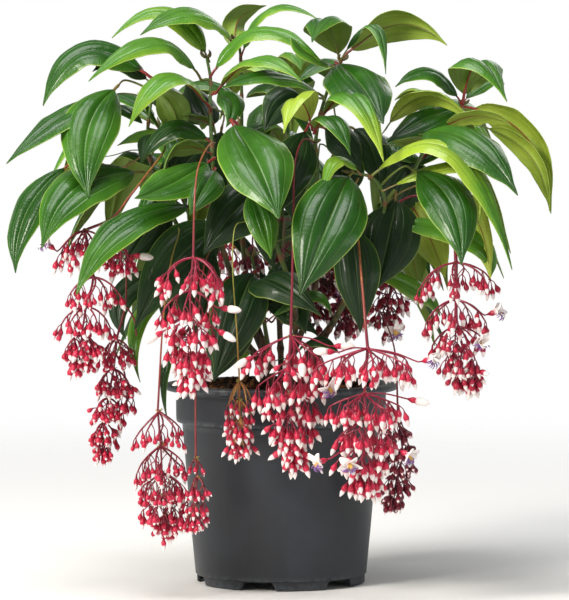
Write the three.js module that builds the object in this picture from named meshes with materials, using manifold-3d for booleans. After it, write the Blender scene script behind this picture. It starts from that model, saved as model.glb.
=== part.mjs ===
// A flowering medinilla in its plastic nursery pot.
// Millimetres, +Z up, origin at the middle of the pot's underside; -Y is the front of the plant.
// Every leafy stem, every hanging flower spray, the soil and the pot are separate closed solids.

import * as THREE from 'three';
import { mergeVertices } from 'three/addons/utils/BufferGeometryUtils.js';
import Module from 'manifold-3d';

const wasm = await Module();
wasm.setup();

// ---------------------------------------------------------------- driving dimensions

const POT_HEIGHT = 146;
const RIM_RADIUS = 85;
const BAND_RADIUS = 77;
const BODY_TOP_RADIUS = 72.6;
const BODY_FOOT_RADIUS = 62.6;
const FOOT_RING_RADIUS = 61.6;
const FOOT_RING_HEIGHT = 6.4;
const STEP_HEIGHT = 117;
const RIM_THICKNESS = 5;
const POT_WALL = 2.2;
const FLOOR_TOP = 9.2;
const POT_SIDES = 24;
const FOOT_OPENINGS = 6;
const FOOT_OPENING_WIDTH = 25;
const FOOT_OPENING_HEIGHT = 5.6;
const FOOT_OPENING_DEPTH = 12;
const FIRST_OPENING_ANGLE = -15.7;

const GAP = 0.3;
const SOIL_EDGE_DEPTH = 4;
const SOIL_MOUND = 4;
const STEM_FOOT_HEIGHT = 118;
const STEM_CLEAR_HEIGHT = 158;
const HOLE_CLEARANCE = 1.4;
const STEM_SIDES = 4;

const BLADE_THICKNESS = 0.8;
const PETIOLE_RADIUS = 1.2;
const PETIOLE_PART = 0.06;
const STALK_START = 14;
const SMALL_LEAF = 29;
const BROAD_LEAF = 38;
const STATIONS = [0.26, 0.52, 0.82];
const BROAD_STATIONS = [0.22, 0.42, 0.65, 0.86];
const TIP_RADIUS = 0.8;
const MARGIN_DROOP = 0.2;

const PEDUNCLE_RADIUS = 0.95;
const PEDUNCLE_STEPS = 1.4;
const SHORTEST_ARM = 2.5;
const BRANCH_RADIUS = 0.6;
const BUD_RADIUS = 2.1;
const BUD_LENGTH = 16;
const BELLY_PLACE = 0.66;
const KNOB_LENGTH = 1.8;
const KNOB_RADIUS = 0.8;
const BRANCH_FALL = 0.42;
const REACH_LOST = 0.6;
const WHORL_TURN = 0.55;
const PETALS = 4;
const PETAL_THICKNESS = 0.8;
const FLOWER_FALL = 10;
// Round one petal: angle from its middle, radius, and how far forward it stands.
const PETAL_OUTLINE = [[-Math.PI / PETALS, 2, 1], [-0.3, 8.4, 2.4], [0.3, 8.4, 2.4]];

// ---------------------------------------------------------------- leafy stems

// Route of each woody stem, from where it leaves the soil to its growing end.
const STEMS = {
  left: {
    radius: 3.2,
    route: [[-14, -12], [-48, -20, 208], [-80, -30, 273], [-96, -34, 317], [-93, -34, 359]],
  },
  front_left: {
    radius: 3.2,
    route: [[-9, -32], [-29, -38, 209], [-46, -50, 262], [-49, -58, 313], [-51, -42, 346], [-51, -24, 368]],
  },
  upper_left: {
    radius: 3,
    route: [[-8, 14], [-23, 22, 206], [-30, 26, 280], [-29, 24, 339], [-30, 20, 388], [-32, 8, 398]],
  },
  crown: {
    radius: 3.2,
    route: [[6, -7], [23, -16, 208], [28, -30, 266], [25, -58, 324], [32, -46, 355], [44, -18, 382]],
  },
  centre: { radius: 3, route: [[8, -38], [10, -62, 205], [-6, -74, 258], [-20, -74, 303], [-29, -66, 334]] },
  upper_right: {
    radius: 3.2,
    route: [[16, 12], [51, 6, 207], [87, -16, 270], [100, -36, 310], [115, -40, 333], [131, -22, 350]],
  },
  right: {
    radius: 3.2,
    route: [[20, -22], [43, -45, 202], [67, -62, 252], [74, -76, 281], [65, -88, 297], [50, -92, 301]],
  },
  low_left: { radius: 2.4, route: [[-28, 4], [-48, 4, 185], [-72, 4, 225], [-92, -2, 248]] },
  low_front: { radius: 2.4, route: [[-6, -50], [-10, -56, 181], [-16, -50, 217], [-21, -40, 240]] },
  rear_left: { radius: 3, route: [[-26, 28], [-50, 62, 220], [-78, 88, 290], [-92, 96, 335]] },
  rear: { radius: 3, route: [[0, 34], [-2, 74, 230], [4, 104, 310], [6, 108, 362]] },
  rear_right: { radius: 3, route: [[26, 28], [52, 62, 220], [80, 90, 290], [96, 98, 330]] },
};

// Leaves that stand at places of their own.  Each row is the base, a point half way along the
// midrib and the tip, the blade's width, and the direction that its upper face looks to.
const LEAVES = {
  left: [
    [[-122, -42, 356], [-156, -75, 340], [-193, -105, 307], 30, [-0.3, -0.6, 0.75]],
    [[-117, -47, 363], [-134, -85, 331], [-135, -108, 283], 42, [-0.1, -0.95, 0.3]],
    [[-95, -34, 370], [-141, -44, 388], [-170, -62, 348], 38, [-0.35, -0.5, 0.8]],
    [[-83, -34, 330], [-81, -40, 346], [-93, -28, 362], 24, [-0.3, 0.8, 0.3]],
    [[-152, -40, 307], [-181, -62, 273], [-189, -75, 229], 30, [-0.4, -0.7, 0.5]],
    [[-99, -55, 301], [-142, -98, 290], [-167, -125, 248], 44, [-0.2, -0.75, 0.6]],
  ],
  front_left: [
    [[-61, -30, 370], [-94, -56, 394], [-138, -90, 364], 34, [-0.2, -0.5, 0.84]],
    [[-50, -44, 346], [-82, -75, 367], [-104, -102, 339], 34, [-0.2, -0.5, 0.85]],
    [[-46, -38, 359], [-16, -76, 381], [15, -102, 364], 26, [0.15, -0.45, 0.88]],
    [[-51, -24, 370], [-14, -32, 402], [30, -50, 379], 34, [0.1, -0.3, 0.95]],
    [[-47, -34, 359], [-35, -55, 350], [-39, -70, 333], 20, [0.2, -0.9, 0.4]],
    [[-58, -72, 277], [-111, -115, 264], [-142, -140, 216], 36, [-0.3, -0.65, 0.7]],
    [[-49, -66, 310], [-77, -100, 294], [-102, -125, 283], 34, [-0.1, -0.8, 0.6]],
    [[-47, -68, 303], [-53, -98, 291], [-64, -115, 271], 26, [0.1, -0.85, 0.5]],
    [[-47, -46, 250], [-62, -60, 222], [-60, -66, 184], 37, [0, -0.95, 0.2]],
    [[-49, -62, 317], [-77, -80, 321], [-81, -98, 298], 22, [-0.3, 0.5, 0.8]],
  ],
  upper_left: [
    [[-32, 12, 395], [-83, 18, 418], [-125, 5, 398], 34, [-0.2, 0.45, 0.87]],
    [[-33, 6, 397], [-70, -24, 412], [-101, -50, 399], 36, [-0.2, -0.5, 0.85]],
    [[-29, 18, 386], [-8, 8, 419], [27, -6, 412], 24, [0.1, -0.3, 0.95]],
    [[-30, 24, 389], [-33, 42, 413], [-11, 62, 425], 22, [0, 0.8, 0.5]],
  ],
  crown: [
    [[43, -16, 381], [32, -45, 410], [22, -80, 393], 34, [-0.2, -0.3, 0.9]],
    [[45, -12, 384], [87, 2, 418], [120, -15, 393], 34, [0.1, 0.5, 0.85]],
    [[45, -20, 385], [67, -36, 406], [75, -58, 371], 14, [0.3, -0.5, 0.8]],
    [[40, -30, 378], [19, -56, 384], [7, -66, 397], 20, [-0.1, -0.6, 0.75]],
    [[44, -26, 378], [56, -75, 362], [71, -108, 335], 46, [0.1, -0.8, 0.6]],
    [[29, -52, 356], [-6, -80, 369], [-41, -112, 360], 32, [-0.1, -0.45, 0.88]],
    [[22, -64, 333], [11, -95, 353], [2, -122, 328], 28, [-0.5, -0.3, 0.8]],
    [[27, -60, 337], [52, -92, 354], [72, -122, 308], 30, [0.3, -0.5, 0.8]],
    [[24, -66, 330], [37, -100, 339], [49, -118, 313], 24, [0.2, -0.5, 0.8]],
    [[19, -66, 333], [6, -86, 304], [-1, -98, 272], 34, [-0.1, -0.95, 0.3]],
    [[30, -46, 333], [45, -44, 323], [58, -46, 302], 28, [0.2, -0.8, 0.5]],
  ],
  centre: [
    [[-29, -72, 334], [-23, -122, 311], [-1, -155, 269], 48, [0.05, -0.85, 0.5]],
    [[-22, -78, 288], [-13, -98, 266], [-6, -105, 242], 24, [0.1, -0.9, 0.3]],
    [[-24, -60, 317], [-11, -50, 298], [7, -50, 281], 32, [0, -0.9, 0.3]],
    [[-14, -76, 276], [-34, -88, 254], [-42, -94, 226], 34, [0, -0.95, 0.2]],
  ],
  upper_right: [
    [[132, -24, 351], [146, -42, 374], [164, -70, 348], 37, [0.1, 0.1, 1]],
    [[130, -24, 352], [108, -36, 373], [82, -52, 362], 24, [-0.1, -0.5, 0.85]],
    [[103, -46, 324], [108, -62, 357], [138, -82, 333], 30, [0.1, 0.45, 0.88]],
    [[128, -30, 349], [103, -55, 340], [78, -74, 327], 26, [-0.2, -0.7, 0.65]],
    [[103, -48, 323], [136, -108, 325], [165, -132, 285], 40, [0.2, -0.75, 0.6]],
    [[131, -22, 349], [180, -30, 347], [190, -52, 274], 34, [0.6, 0.4, 0.7]],
    [[128, -32, 344], [184, -60, 327], [192, -82, 268], 26, [0.5, -0.5, 0.6]],
    [[116, -44, 333], [141, -62, 341], [165, -60, 334], 18, [0, 0.6, 0.7]],
    [[92, -28, 281], [109, -46, 254], [118, -52, 225], 28, [0.2, 0.85, 0.3]],
    [[88, -22, 276], [94, -24, 244], [101, -24, 217], 26, [0, 0.9, 0.3]],
  ],
  right: [
    [[50, -96, 301], [33, -134, 267], [13, -152, 218], 56, [0.05, -0.9, 0.4]],
    [[56, -94, 300], [39, -104, 310], [30, -116, 285], 16, [-0.3, -0.5, 0.8]],
    [[66, -92, 297], [125, -118, 304], [159, -135, 233], 30, [0.35, -0.3, 0.85]],
    [[73, -84, 288], [130, -104, 304], [138, -124, 264], 18, [0.5, -0.5, 0.6]],
    [[77, -86, 291], [116, -136, 278], [124, -152, 237], 40, [0.05, -0.9, 0.4]],
    [[71, -70, 266], [136, -72, 253], [148, -74, 224], 24, [0.3, -0.7, 0.5]],
    [[73, -72, 278], [82, -84, 252], [68, -88, 218], 34, [0, -0.95, 0.25]],
    [[62, -60, 248], [59, -84, 225], [57, -90, 188], 34, [-0.1, -0.95, 0.2]],
    [[58, -54, 231], [96, -40, 217], [115, -40, 197], 20, [0.2, -0.7, 0.6]],
  ],
  low_left: [
    [[-86, -16, 246], [-94, -46, 230], [-105, -54, 188], 40, [-0.2, -0.9, 0.3]],
    [[-70, -4, 218], [-103, -38, 194], [-101, -58, 150], 14, [-0.3, -0.9, 0.1]],
    [[-80, -4, 230], [-115, -10, 210], [-113, -18, 179], 20, [-0.2, -0.9, 0.2]],
  ],
  low_front: [
    [[-19, -48, 230], [-31, -74, 204], [-48, -86, 152], 42, [0, -0.95, 0.2]],
    [[-16, -60, 218], [-4, -92, 224], [29, -112, 200], 34, [0.1, -0.8, 0.6]],
  ],
};

// Leaves round the sides and the back stand in tiers: height on the stem, compass angle from
// straight back, reach, rise half way out, drop of the tip below the base, and width.
const TIERED_LEAVES = {
  left: [[330, -60, 76, 14, 40, 36], [300, -30, 76, 8, 56, 37], [345, 20, 60, 14, 24, 32]],
  upper_left: [[348, -60, 80, 14, 40, 36], [310, -100, 66, 8, 50, 36], [350, 120, 64, 10, 36, 36]],
  upper_right: [[300, 60, 84, 10, 60, 37], [328, 20, 80, 14, 40, 36]],
  rear_left: [
    [334, -50, 96, 22, 18, 38], [330, -105, 88, 16, 40, 36],
    [300, -12, 92, 6, 62, 40], [292, -78, 92, 6, 66, 42], [268, -125, 70, 4, 54, 34],
    [250, -40, 84, -4, 84, 40], [228, -92, 74, -6, 76, 36],
  ],
  rear: [
    [360, -40, 84, 24, 20, 36], [361, 42, 86, 22, 26, 38], [358, 2, 80, 14, 44, 40],
    [362, 170, 52, 26, -14, 29], [318, -12, 80, 4, 70, 38], [300, 12, 84, 2, 78, 38],
    [262, 0, 96, -6, 88, 40],
  ],
  rear_right: [
    [328, 52, 92, 24, 22, 38], [326, 112, 84, 18, 40, 34],
    [298, 12, 92, 6, 64, 40], [288, 80, 92, 4, 70, 42], [266, 130, 66, 4, 54, 32],
    [248, 40, 86, -4, 84, 40], [226, 92, 76, -6, 76, 36],
  ],
};

// ---------------------------------------------------------------- flower sprays

// Each spray hangs from a stem on its peduncle.  The last point of the route is where the first
// whorl of branches stands; length and reach are those of the hanging part.  Open flowers are
// given as [x, y, z] with the side they look to.
const SPRAYS = {
  left: {
    route: [[-92, -46, 312], [-104, -74, 290], [-116, -90, 268], [-140, -86, 257]],
    length: 104, reach: 27, whorls: 5, branches: 4, buds: 3, turn: 0.3,
    flowers: [[[-164, -96, 245], [-0.8, -0.6, 0]]],
  },
  left_low: {
    route: [[-95, -6, 248], [-112, -28, 246], [-124, -50, 214], [-118, -62, 184]],
    length: 94, reach: 18, whorls: 4, branches: 4, buds: 2, turn: 1.1,
    flowers: [],
  },
  front_left: {
    route: [[-47, -66, 322], [-51, -84, 320], [-57, -112, 300], [-60, -124, 280], [-64, -128, 234]],
    length: 104, reach: 28, whorls: 5, branches: 4, buds: 3, turn: 0.7,
    flowers: [[[-28, -132, 198], [0.8, -0.5, -0.2]]],
  },
  pot_left: {
    route: [[-62, -2, 208], [-74, -56, 196], [-86, -92, 163], [-89, -98, 126]],
    length: 94, reach: 24, whorls: 4, branches: 4, buds: 3, turn: 2.2,
    flowers: [],
  },
  pot_front_left: {
    route: [[-14, -58, 178], [-36, -100, 150], [-58, -106, 124], [-60, -106, 80]],
    length: 48, reach: 11, whorls: 3, branches: 3, buds: 2, turn: 0.2,
    flowers: [],
  },
  pot_front: {
    route: [[-25, -80, 300], [-34, -98, 272], [-34, -104, 200], [-30, -108, 148]],
    length: 54, reach: 12, whorls: 3, branches: 3, buds: 2, turn: 1.9,
    flowers: [],
  },
  front: {
    route: [[31, -64, 312], [26, -90, 306], [15, -110, 282], [8, -120, 204], [7, -120, 182]],
    length: 104, reach: 33, whorls: 5, branches: 4, buds: 3, turn: 1.4,
    flowers: [],
  },
  middle: {
    route: [[30, -24, 262], [31, -4, 262], [30, 12, 240]],
    length: 50, reach: 15, whorls: 3, branches: 4, buds: 2, turn: 0.9,
    flowers: [],
  },
  front_right: {
    route: [[70, -92, 288], [64, -112, 272], [60, -132, 244], [58, -156, 176]],
    length: 114, reach: 31, whorls: 5, branches: 4, buds: 3, turn: 0,
    flowers: [
      [[78, -150, 186], [0.7, -0.7, 0.1]], [[98, -158, 160], [0.9, -0.4, 0]],
      [[33, -172, 146], [-0.3, -0.9, 0]], [[27, -166, 96], [-0.5, -0.8, -0.1]],
      [[46, -180, 98], [0, -0.9, -0.1]], [[86, -168, 100], [0.6, -0.8, 0]],
    ],
  },
  right: {
    route: [[78, -82, 272], [102, -98, 262], [120, -110, 246], [123, -112, 236]],
    length: 98, reach: 30, whorls: 5, branches: 4, buds: 3, turn: 0.5,
    flowers: [
      [[150, -122, 198], [0.8, -0.6, 0]], [[140, -132, 182], [0.5, -0.8, -0.2]],
      [[94, -122, 212], [-0.6, -0.8, 0]],
    ],
  },
  right_low: {
    route: [[47, -51, 205], [66, -62, 206], [82, -68, 180], [87, -66, 124]],
    length: 68, reach: 13, whorls: 3, branches: 4, buds: 2, turn: 1.7,
    flowers: [],
  },
  right_inner: {
    route: [[83, -8, 262], [80, 14, 252], [78, 22, 238]],
    length: 60, reach: 13, whorls: 3, branches: 4, buds: 2, turn: 2.6,
    flowers: [],
  },
  rear_left: {
    route: [[-1, 104, 298], [-26, 128, 300], [-44, 146, 284], [-48, 150, 262]],
    length: 90, reach: 18, whorls: 3, branches: 4, buds: 2, turn: 2,
    flowers: [],
  },
  rear_right: {
    route: [[9, 106, 292], [32, 128, 294], [52, 144, 278], [56, 148, 252]],
    length: 88, reach: 17, whorls: 3, branches: 4, buds: 2, turn: 0.4,
    flowers: [],
  },
};

// ---------------------------------------------------------------- solids and joins

const vector = ([x, y, z]) => new THREE.Vector3(x, y, z);
const degrees = (angle) => THREE.MathUtils.degToRad(angle);

/** Solid of a closed geometry: seams merged, collapsed triangles left out, faces turned outwards. */
function solidFrom(geometry) {
  geometry.deleteAttribute('normal');
  geometry.deleteAttribute('uv');
  const merged = mergeVertices(geometry, 1e-4);
  const index = merged.index.array;
  const triangles = [];
  for (let i = 0; i < index.length; i += 3) {
    const [a, b, c] = index.slice(i, i + 3);
    if (a !== b && b !== c && c !== a) triangles.push(a, b, c);
  }
  const vertProperties = new Float32Array(merged.getAttribute('position').array);
  const shape = (corners) => (
    new wasm.Manifold(new wasm.Mesh({ numProp: 3, vertProperties, triVerts: new Uint32Array(corners) }))
  );
  const solid = shape(triangles);
  return solid.volume() > 0 ? solid : shape(triangles.reverse());
}

/** Solid whose skin is made of the given points and corners. */
function skinned(points, corners) {
  const geometry = new THREE.BufferGeometry();
  const coordinates = points.flatMap((point) => point.toArray());
  geometry.setAttribute('position', new THREE.Float32BufferAttribute(coordinates, 3));
  geometry.setIndex(corners);
  return solidFrom(geometry);
}

/** One solid out of many that cross each other. */
function fuse(solids) {
  let level = solids;
  while (level.length > 1) {
    const next = [];
    for (let i = 0; i < level.length; i += 2) {
      next.push(i + 1 < level.length ? level[i].add(level[i + 1]) : level[i]);
    }
    level = next;
  }
  return level[0];
}

/** Named mesh of a solid. */
function meshOf(name, solid, { color, roughness, metalness = 0 }) {
  const { vertProperties, triVerts, numProp } = solid.getMesh();
  const positions = new Float32Array((vertProperties.length / numProp) * 3);
  for (let i = 0; i < positions.length / 3; i++) {
    for (let k = 0; k < 3; k++) positions[3 * i + k] = vertProperties[numProp * i + k];
  }
  const geometry = new THREE.BufferGeometry();
  geometry.setAttribute('position', new THREE.BufferAttribute(positions, 3));
  geometry.setIndex(new THREE.BufferAttribute(new Uint32Array(triVerts), 1));
  geometry.computeVertexNormals();
  const mesh = new THREE.Mesh(geometry, new THREE.MeshStandardMaterial({ color, roughness, metalness }));
  mesh.name = name;
  return mesh;
}

/** Regular outline with the given number of sides. */
function polygon(radius, sides) {
  const points = [];
  for (let i = 0; i < sides; i++) {
    const angle = (i / sides) * 2 * Math.PI;
    points.push(new THREE.Vector2(radius * Math.cos(angle), radius * Math.sin(angle)));
  }
  return new THREE.Shape(points);
}

/** Rod along a curve. */
function rod(curve, radius, sides, steps) {
  return solidFrom(new THREE.ExtrudeGeometry(polygon(radius, sides), { extrudePath: curve, steps }));
}

/** Straight rod between two points. */
function strut(from, to, radius, sides) {
  const along = to.clone().sub(from);
  const geometry = new THREE.CylinderGeometry(radius, radius, along.length(), sides, 1);
  geometry.translate(0, along.length() / 2, 0);
  const turn = new THREE.Quaternion().setFromUnitVectors(new THREE.Vector3(0, 1, 0), along.normalize());
  geometry.applyQuaternion(turn);
  geometry.translate(from.x, from.y, from.z);
  return solidFrom(geometry);
}

// ---------------------------------------------------------------- pot and soil

/** Half section through the pot, as [radius, height] points in order round it. */
function potProfile() {
  const wallTop = BAND_RADIUS - POT_WALL;
  const shoulder = BODY_TOP_RADIUS - POT_WALL;
  const rimUnder = POT_HEIGHT - RIM_THICKNESS;
  return [
    [0, FLOOR_TOP - POT_WALL], [FOOT_RING_RADIUS - POT_WALL, FLOOR_TOP - POT_WALL],
    [FOOT_RING_RADIUS - POT_WALL, 0], [FOOT_RING_RADIUS, 0],
    [FOOT_RING_RADIUS, FOOT_RING_HEIGHT], [BODY_FOOT_RADIUS, FOOT_RING_HEIGHT + 0.4],
    [BODY_TOP_RADIUS, STEP_HEIGHT], [BAND_RADIUS - 0.8, STEP_HEIGHT + 1.6],
    [BAND_RADIUS, rimUnder], [RIM_RADIUS, rimUnder + 0.4], [RIM_RADIUS, POT_HEIGHT - 0.8],
    [RIM_RADIUS - 1, POT_HEIGHT], [wallTop, POT_HEIGHT],
    [wallTop - 0.8, STEP_HEIGHT + 2], [shoulder, STEP_HEIGHT - 1],
    [BODY_FOOT_RADIUS - POT_WALL, FLOOR_TOP], [0, FLOOR_TOP],
  ];
}

/** Solid turned from a closed profile of [radius, height] points. */
function turned(profile) {
  const geometry = new THREE.LatheGeometry(profile.map(([r, z]) => new THREE.Vector2(r, z)), POT_SIDES);
  geometry.rotateX(Math.PI / 2);
  return solidFrom(geometry);
}

/** Pot with its foot ring opened for drainage. */
function pot() {
  let shell = turned(potProfile());
  for (let i = 0; i < FOOT_OPENINGS; i++) {
    const opening = new THREE.BoxGeometry(FOOT_OPENING_WIDTH, FOOT_OPENING_DEPTH, 2 * FOOT_OPENING_HEIGHT);
    opening.translate(0, -FOOT_RING_RADIUS, 0);
    opening.rotateZ(degrees(FIRST_OPENING_ANGLE + (i * 360) / FOOT_OPENINGS));
    shell = shell.subtract(solidFrom(opening));
  }
  return shell;
}

/** Peat that fills the pot, mounded in the middle, with a plain hole for each stem. */
function soil() {
  const wall = BAND_RADIUS - POT_WALL - GAP;
  const surface = POT_HEIGHT - SOIL_EDGE_DEPTH;
  let plug = turned([
    [0, FLOOR_TOP + GAP], [BODY_FOOT_RADIUS - POT_WALL - GAP, FLOOR_TOP + GAP],
    [BODY_TOP_RADIUS - POT_WALL - GAP, STEP_HEIGHT - 1], [wall - 0.8, STEP_HEIGHT + 2],
    [wall - 0.2, surface], [0.5 * wall, surface + SOIL_MOUND], [0, surface + 2 * SOIL_MOUND],
  ]);
  for (const { radius, route } of Object.values(STEMS)) {
    const [x, y] = route[0];
    const foot = new THREE.Vector3(x, y, STEM_FOOT_HEIGHT - GAP);
    const above = new THREE.Vector3(x, y, STEM_CLEAR_HEIGHT);
    plug = plug.subtract(strut(foot, above, radius + HOLE_CLEARANCE, STEM_SIDES));
  }
  return plug;
}

// ---------------------------------------------------------------- leaves

/** Half width of a blade along its length: egg-shaped, drawn out into a drip tip. */
function outline(u) {
  return Math.sin(Math.PI * u ** 0.8) ** 0.8 * (1 - 0.45 * u ** 4);
}

/** Curve through base, middle and tip. */
function midrib(base, middle, tip) {
  const control = middle.clone().multiplyScalar(2).addScaledVector(base, -0.5).addScaledVector(tip, -0.5);
  return new THREE.QuadraticBezierCurve3(base, control, tip);
}

/** Closed blade with its leaf stalk, which starts inside the stem at the joint.  Each section of a
 *  large leaf has a left, a rib and a right point, above and below; a small leaf has no rib. */
function blade([base, middle, tip, width, facing], joint) {
  const curve = midrib(vector(base), vector(middle), vector(tip));
  const face = vector(facing).normalize();
  const small = width < SMALL_LEAF;
  const across = small ? [-1, 1] : [-1, 0, 1];
  const points = [];
  const section = (centre, along, half, thick, droop) => {
    const side = along.clone().cross(face).normalize();
    const up = side.clone().cross(along).normalize();
    for (const lift of [thick, -thick]) {
      for (const place of across) {
        const point = centre.clone().addScaledVector(side, place * half);
        points.push(point.addScaledVector(up, lift - (place === 0 ? 0 : droop)));
      }
    }
  };
  const stalk = vector(base).sub(joint);
  const root = stalk.length() > STALK_START ? stalk.normalize() : curve.getTangent(0);
  section(joint, root, PETIOLE_RADIUS, PETIOLE_RADIUS, 0);
  if (root === stalk) section(curve.getPoint(0), curve.getTangent(0), PETIOLE_RADIUS, PETIOLE_RADIUS, 0);
  for (const t of width < BROAD_LEAF ? STATIONS : BROAD_STATIONS) {
    const half = (width / 2) * outline((t - PETIOLE_PART) / (1 - PETIOLE_PART));
    section(curve.getPoint(t), curve.getTangent(t), half, BLADE_THICKNESS / 2, MARGIN_DROOP * half);
  }
  section(curve.getPoint(1), curve.getTangent(1), TIP_RADIUS, BLADE_THICKNESS / 2, 0);
  return small ? loft(points, 4, [0, 1, 3, 2]) : loft(points, 6, [0, 1, 2, 5, 4, 3]);
}

/** Closed skin over equal sections of points, taken in the given order round each section.  The
 *  upper and the lower face are split alike, so that a thin waved blade never crosses itself. */
function loft(points, perSection, order) {
  const index = [];
  const sections = points.length / perSection;
  for (let s = 0; s + 1 < sections; s++) {
    for (let k = 0; k < perSection; k++) {
      const a = s * perSection + order[k];
      const b = s * perSection + order[(k + 1) % perSection];
      const [c, d] = [a + perSection, b + perSection];
      const above = k < perSection / 2 - 1;
      index.push(...(above ? [a, b, d, a, d, c] : [a, b, c, b, d, c]));
    }
  }
  for (let k = 1; k + 1 < perSection; k++) {
    const last = (sections - 1) * perSection;
    index.push(order[0], order[k + 1], order[k], last + order[0], last + order[k], last + order[k + 1]);
  }
  return skinned(points, index);
}

/** A tiered leaf, from its place on the stem. */
function tieredLeaf(curve, [height, compass, reach, rise, drop, width]) {
  const base = pointAtHeight(curve, height);
  const out = new THREE.Vector3(Math.sin(degrees(compass)), Math.cos(degrees(compass)), 0);
  const middle = base.clone().addScaledVector(out, 0.52 * reach).add(new THREE.Vector3(0, 0, rise));
  const tip = base.clone().addScaledVector(out, reach).add(new THREE.Vector3(0, 0, -drop));
  const face = out.clone().multiplyScalar(0.5).add(new THREE.Vector3(0, 0, 0.85));
  return [base.toArray(), middle.toArray(), tip.toArray(), width, face.toArray()];
}

// ---------------------------------------------------------------- stems

/** Centre line of a stem: upright in its hole, then along its route. */
function stemCurve({ route }) {
  const [x, y] = route[0];
  const rising = [[x, y, STEM_FOOT_HEIGHT], [x, y, POT_HEIGHT], [x, y, STEM_CLEAR_HEIGHT]];
  return new THREE.CatmullRomCurve3([...rising, ...route.slice(1)].map(vector), false, 'centripetal');
}

/** First point of a rising curve that reaches a height. */
function pointAtHeight(curve, height) {
  return curve.getPoints(200).find((point) => point.z >= height) ?? curve.getPoint(1);
}

/** Nearest point to a place on the straight pieces that a rod is made of. */
function nearestOn(corners, place) {
  const spots = corners.slice(1).map((corner, i) => (
    new THREE.Line3(corners[i], corner).closestPointToPoint(place, true, new THREE.Vector3())
  ));
  return spots.reduce((best, spot) => (spot.distanceTo(place) < best.distanceTo(place) ? spot : best));
}

/** One leafy stem: woody rod, leaf stalks and blades in one body. */
function leafyStem(name) {
  const stem = STEMS[name];
  const curve = stemCurve(stem);
  const steps = 2 * stem.route.length - 2;
  const corners = curve.getSpacedPoints(steps);
  const solids = [rod(curve, stem.radius, STEM_SIDES, steps)];
  const rows = [...(LEAVES[name] ?? []), ...(TIERED_LEAVES[name] ?? []).map((row) => tieredLeaf(curve, row))];
  for (const row of rows) solids.push(blade(row, nearestOn(corners, vector(row[0]))));
  return fuse(solids);
}

// ---------------------------------------------------------------- sprays

/** A closed skin that grows: a triangle of it is drawn out into a stalk, a knob or a bud. */
class Skin {
  constructor() {
    this.points = [];
    this.faces = [];
  }

  /** Ring of points round a centre, square to a direction, starting at the given angle. */
  ring(centre, along, radius, sides, start) {
    const [first, second] = squareTo(along);
    const ids = [];
    for (let i = 0; i < sides; i++) {
      const angle = start + (i / sides) * 2 * Math.PI;
      const point = centre.clone().addScaledVector(first, radius * Math.cos(angle));
      ids.push(this.points.push(point.addScaledVector(second, radius * Math.sin(angle))) - 1);
    }
    return ids;
  }

  /** Wall between two rings; gives back one triangle of each of its sides. */
  wall(lower, upper) {
    return lower.map((a, i) => {
      const b = lower[(i + 1) % lower.length];
      const d = upper[(i + 1) % lower.length];
      this.faces.push([a, b, d], [a, d, upper[i]]);
      return this.faces.at(-2);
    });
  }

  /** Cone from a ring to one point. */
  close(ring, apex) {
    const id = this.points.push(apex) - 1;
    ring.forEach((a, i) => this.faces.push([a, ring[(i + 1) % ring.length], id]));
  }

  /** Takes a triangle out of the skin and gives back its corners. */
  open(face) {
    this.faces.splice(this.faces.indexOf(face), 1);
    return face;
  }

  /** Middle of some points of the skin. */
  middle(corners) {
    const sum = corners.reduce((total, id) => total.add(this.points[id]), new THREE.Vector3());
    return sum.divideScalar(corners.length);
  }

  /** Direction that a triangle faces. */
  normal([a, b, c]) {
    const [p, q, r] = [a, b, c].map((id) => this.points[id]);
    return q.clone().sub(p).cross(r.clone().sub(p)).normalize();
  }

  /** Ring that follows on from the given corners, without a twist or turned by an angle. */
  follow(corners, centre, along, radius, turn = 0) {
    const [first, second] = squareTo(along);
    const arm = this.points[corners[0]].clone().sub(this.middle(corners));
    const start = Math.atan2(arm.dot(second), arm.dot(first)) + turn;
    return this.ring(centre, along, radius, corners.length, start);
  }

  /** The skin as a solid. */
  solid() {
    return skinned(this.points, this.faces.flat());
  }
}

/** Two directions square to the given one and to each other. */
function squareTo(along) {
  const first = new THREE.Vector3(0, 0, 1).cross(along);
  if (first.length() < 0.2) first.set(1, 0, 0).addScaledVector(along, -along.x);
  first.normalize();
  return [first, along.clone().cross(first).normalize()];
}

/** Pedicel and bud in one slim drop, drawn out of a triangle of the skin. */
function growBud(skin, face, direction) {
  const root = skin.middle(face);
  const corners = skin.open(face);
  const widest = root.clone().addScaledVector(direction, BELLY_PLACE * BUD_LENGTH);
  const belly = skin.follow(corners, widest, direction, BUD_RADIUS);
  skin.wall(corners, belly);
  skin.close(belly, root.clone().addScaledVector(direction, BUD_LENGTH));
}

/** One branch of a whorl with the small bunch of buds at its end. */
function growBranch(skin, face, arm, buds) {
  const out = skin.normal(face).setZ(0).normalize();
  const root = skin.middle(face);
  const along = out.clone().add(new THREE.Vector3(0, 0, -BRANCH_FALL)).normalize();
  const foot = root.clone().addScaledVector(along, arm);
  const knob = skin.follow(skin.open(face), foot, along, BRANCH_RADIUS);
  skin.wall(face, knob);
  const end = skin.follow(knob, foot.clone().addScaledVector(along, KNOB_LENGTH), along, KNOB_RADIUS);
  const sides = skin.wall(knob, end);
  skin.faces.push(end);
  growBud(skin, end, out.clone().multiplyScalar(0.5).add(new THREE.Vector3(0, 0, -1)).normalize());
  sides.sort((a, b) => skin.normal(a).z - skin.normal(b).z);
  for (const side of sides.slice(0, buds - 1)) {
    const lean = skin.normal(side).addScaledVector(along, 0.35).add(new THREE.Vector3(0, 0, -0.75));
    growBud(skin, side, lean.normalize());
  }
}

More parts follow.
